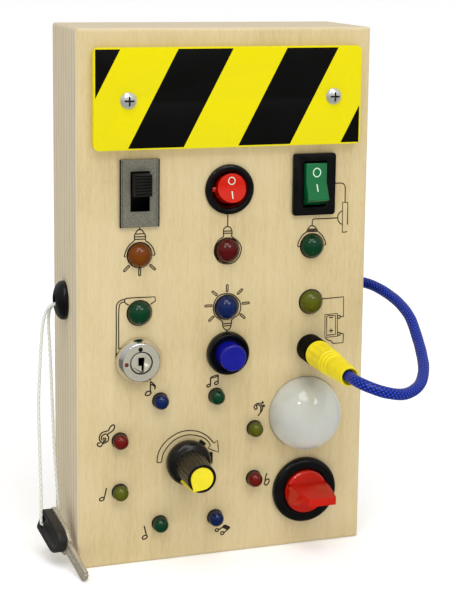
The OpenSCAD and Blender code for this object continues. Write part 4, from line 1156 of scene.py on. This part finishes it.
musicLines = [
    [(-35.5, 87.6), (-35.6, 85), (-35.6, 82.3)], bend([(-38, 81.8), (-37.3, 82.8), (-36, 83), (-35.3, 82.4),
        (-35.7, 81.5), (-36.7, 81), (-37.8, 81.2), (-38, 81.8)]),
    bend([(-35.5, 87.6), (-34.4, 86.6), (-33.4, 85.5), (-33.3, 84.6), (-33.7, 83.7)]),
    bend([(-35.3, 86.1), (-34.4, 85.8), (-33.5, 84.9)]), [(-6.6, 87.2), (-6.6, 83.2)],
    [(-2.9, 88.2), (-2.9, 85.1)], noteHead(-7.5, 83.3, 0.91, 0.62, 15), noteHead(-3.7, 84.3, 0.96, 0.67, 25),
    [(-56.4, 38.4), (-56.7, 36.8), (-57.1, 35.1), (-57.5, 33.7)], noteHead(-58.6, 33.2, 1.11, 0.77, 15),
    [(-38.4, 17.9), (-37.9, 15.8), (-37.4, 13.5)], noteHead(-38.1, 12.3, 1.25, 0.87, 22),
    noteHead(-2.7, 11.7, 0.77, 0.72, 0), noteHead(0, 9.9, 0.82, 0.72, 0),
    [(-1.8, 11.8), (-0.4, 12.5), (1.1, 13.8)], [(0.9, 10), (2.4, 11.2), (3.8, 12.3)],
    [(0.2, 12.8), (2.6, 11.4)], [(0.5, 13.1), (3, 11.7)], [(0.9, 13.5), (3.4, 12)], [(1.2, 13.9), (3.8, 12.3)],
    [(22, 37.6), (21.6, 36.3), (21.3, 34.7), (21.1, 33.2), (20.7, 32.4)], bend([(21.3, 33.7), (21.9, 34.3),
        (22.9, 34.5), (23.3, 33.8), (23, 32.7), (22.3, 31.8), (21.5, 31.6), (20.7, 32.4)]),
    bend([(-56.2, 64), (-55.2, 64.6), (-53.7, 65.4), (-52.8, 66.5), (-52.5, 67.5), (-52.9, 68.3),
        (-53.7, 68.3), (-54.7, 67.3), (-55.3, 66.1), (-56.2, 65.7), (-57.4, 65.5), (-58.4, 65.2),
        (-59.2, 64.3), (-59.7, 63.1), (-59.6, 61.8), (-58.9, 60.8), (-57.9, 60.1), (-56.6, 60.3),
        (-55.6, 61.1), (-55.3, 62.2), (-55.6, 63.2), (-56.2, 64)]),
    bend([(-56.4, 64.5), (-57.6, 64.2), (-58.5, 63.5), (-58.8, 62.5), (-58.3, 61.5)]),
    bend([(-57.9, 62.9), (-57.5, 61.7), (-57.8, 60.5), (-58.2, 59.6), (-58.8, 58.9), (-59.5, 58.6),
        (-60.3, 59.1), (-60.6, 59.9), (-60, 60.5), (-59.3, 60.2)]),
    bend([(-57.2, 62.7), (-56.7, 62), (-56.8, 61.2), (-57.4, 60.7)]), bend([(16.7, 70.6), (16.4, 69.9),
        (15.7, 69.8), (15.2, 70.6), (15.2, 71.4), (16, 72.2), (17.1, 72.6), (18.2, 72.3), (19, 71.3),
        (19.3, 70), (19, 68.8), (18.1, 67.6), (17.1, 66.4)]), bend([(16.7, 70.6), (16.2, 71.3), (16.8, 71.8),
        (17.7, 71.6), (18.4, 70.7), (18.5, 69.5), (18.3, 68.2)]), loopOf(19.3, 72.8, 0.34, 0.34, 16),
    loopOf(19.9, 71.1, 0.38, 0.38, 16),
]
strokesPiece("circuitLines", circuitLines, 0.58, 0.03, finish["burnt"], "board", atFront(0, 0))
strokesPiece("musicLines", musicLines, 0.66, 0.03, finish["ink"], "board", atFront(0, 0))
print("lines swept")


# marks on the rockers and the lock
def rockerFace(look, upper):  # lies on one half of a tilted rocker
    slope = math.atan((look["tip"] - look["mid"]) / look["half"]) * (1 if upper else -1)
    return (atFront(look["x"], look["z"]) @ Matrix.Translation((0, 0, look["pivot"]))
            @ Matrix.Rotation(math.radians(-look["tilt"]), 4, "X")
            @ Matrix.Translation((0, 0, look["mid"] + 0.02)) @ Matrix.Rotation(slope, 4, "X"))


for name, stroke, width, node, look, upper in (
        ("roundOffMark", loopOf(0, 3.4, 1.55, 1.65), 0.4, "round_rocker", roundSwitch, True),
        ("roundOnMark", [(0, -1.4), (0, -5)], 0.5, "round_rocker", roundSwitch, False),
        ("squareOffMark", loopOf(0.1, 4.6, 1.8, 2.0), 0.5, "square_rocker", squareSwitch, True),
        ("squareOnMark", [(0, -1.0), (0, -4.6)], 0.55, "square_rocker", squareSwitch, False)):
    strokesPiece(name, [stroke], width, 0.05, finish["paint"], node, rockerFace(look, upper))


def lockDot(name, right, up, r, mat):  # a drop of paint on the lock's face
    out = lock["out"] + 0.04
    profile = [(0, out), (r * 0.8, out), (r, out - 0.05), (r, out - 0.3), (0, out - 0.3)]
    mesh = turnedMesh(name, profile, atFront(lock["x"] + right, lock["z"] + up), 24)
    addPiece(name, mesh, mat, "board", ())


finish["redDot"] = plainPlastic("redDot", tint(110, 24, 18), 0.4)
lockDot("lockRedDot", -6.9, -0.4, 1.05, finish["redDot"])
lockDot("lockBlackDot", -0.4, 6.4, 1.1, finish["blackMatte"])
print("marks done")

# studio: a white floor, a bright window high on the left, a wide soft light and a pale sky
floorMesh = bpy.data.meshes.new("studioFloor")
floorMesh.from_pydata([(-40, -40, 0), (40, -40, 0), (40, 40, 0), (-40, 40, 0)], [], [(0, 1, 2, 3)])
floorMesh.materials.append(newFinish("studioFloor", (0.95, 0.95, 0.95, 1), 0.8, Emission_Color=(1, 1, 1, 1),
                                     Emission_Strength=0.16))
floor = placed("studioFloor", floorMesh)
floor.visible_glossy = False  # the gloss shows the room and not the white floor


def aimed(direction):  # a light's turn towards a direction
    return Vector(direction).to_track_quat("-Z", "Y").to_euler()


def addLight(name, place, target, size, power, colour=(1, 1, 1)):
    data = bpy.data.lights.new(name, "AREA")
    data.shape = "RECTANGLE"
    data.size, data.size_y = size
    data.energy = power
    data.color = colour
    obj = placed(name, data)
    obj.location = place
    obj.rotation_euler = aimed(Vector(target) - Vector(place))


addLight("windowLight", (-0.80, -0.92, 1.28), (0, 0, 0.12), (0.14, 0.14), 2.3, (1, 0.985, 0.96))
addLight("sideLight", (0.376, -1.125, 1.271), (0.02, 0, 0.16), (0.7, 0.4), 4.8)
sunData = bpy.data.lights.new("skyLight", "SUN")
sunData.energy, sunData.angle = 0.95, math.radians(35)
placed("skyLight", sunData).rotation_euler = aimed((0.12, 0.38, -1))
world = bpy.data.worlds.new("studioWorld")
world.use_nodes = True
skyTones = [(0.0, (0.28, 0.28, 0.28, 1)), (0.02, (0.6, 0.6, 0.6, 1)), (0.5, (0.9, 0.9, 0.91, 1)),
            (1.0, (1, 1, 1, 1))]
background = world.node_tree.nodes["Background"]
height = splitXYZ(world, "ShaderNodeTexCoord", "Generated")["Z"]
feed(world, background.inputs["Color"], rampColour(world, height, skyTones))
background.inputs["Strength"].default_value = 0.68
bpy.context.scene.world = world
bpy.context.scene.view_settings.view_transform = "Standard"
bpy.context.scene.view_settings.look = "None"
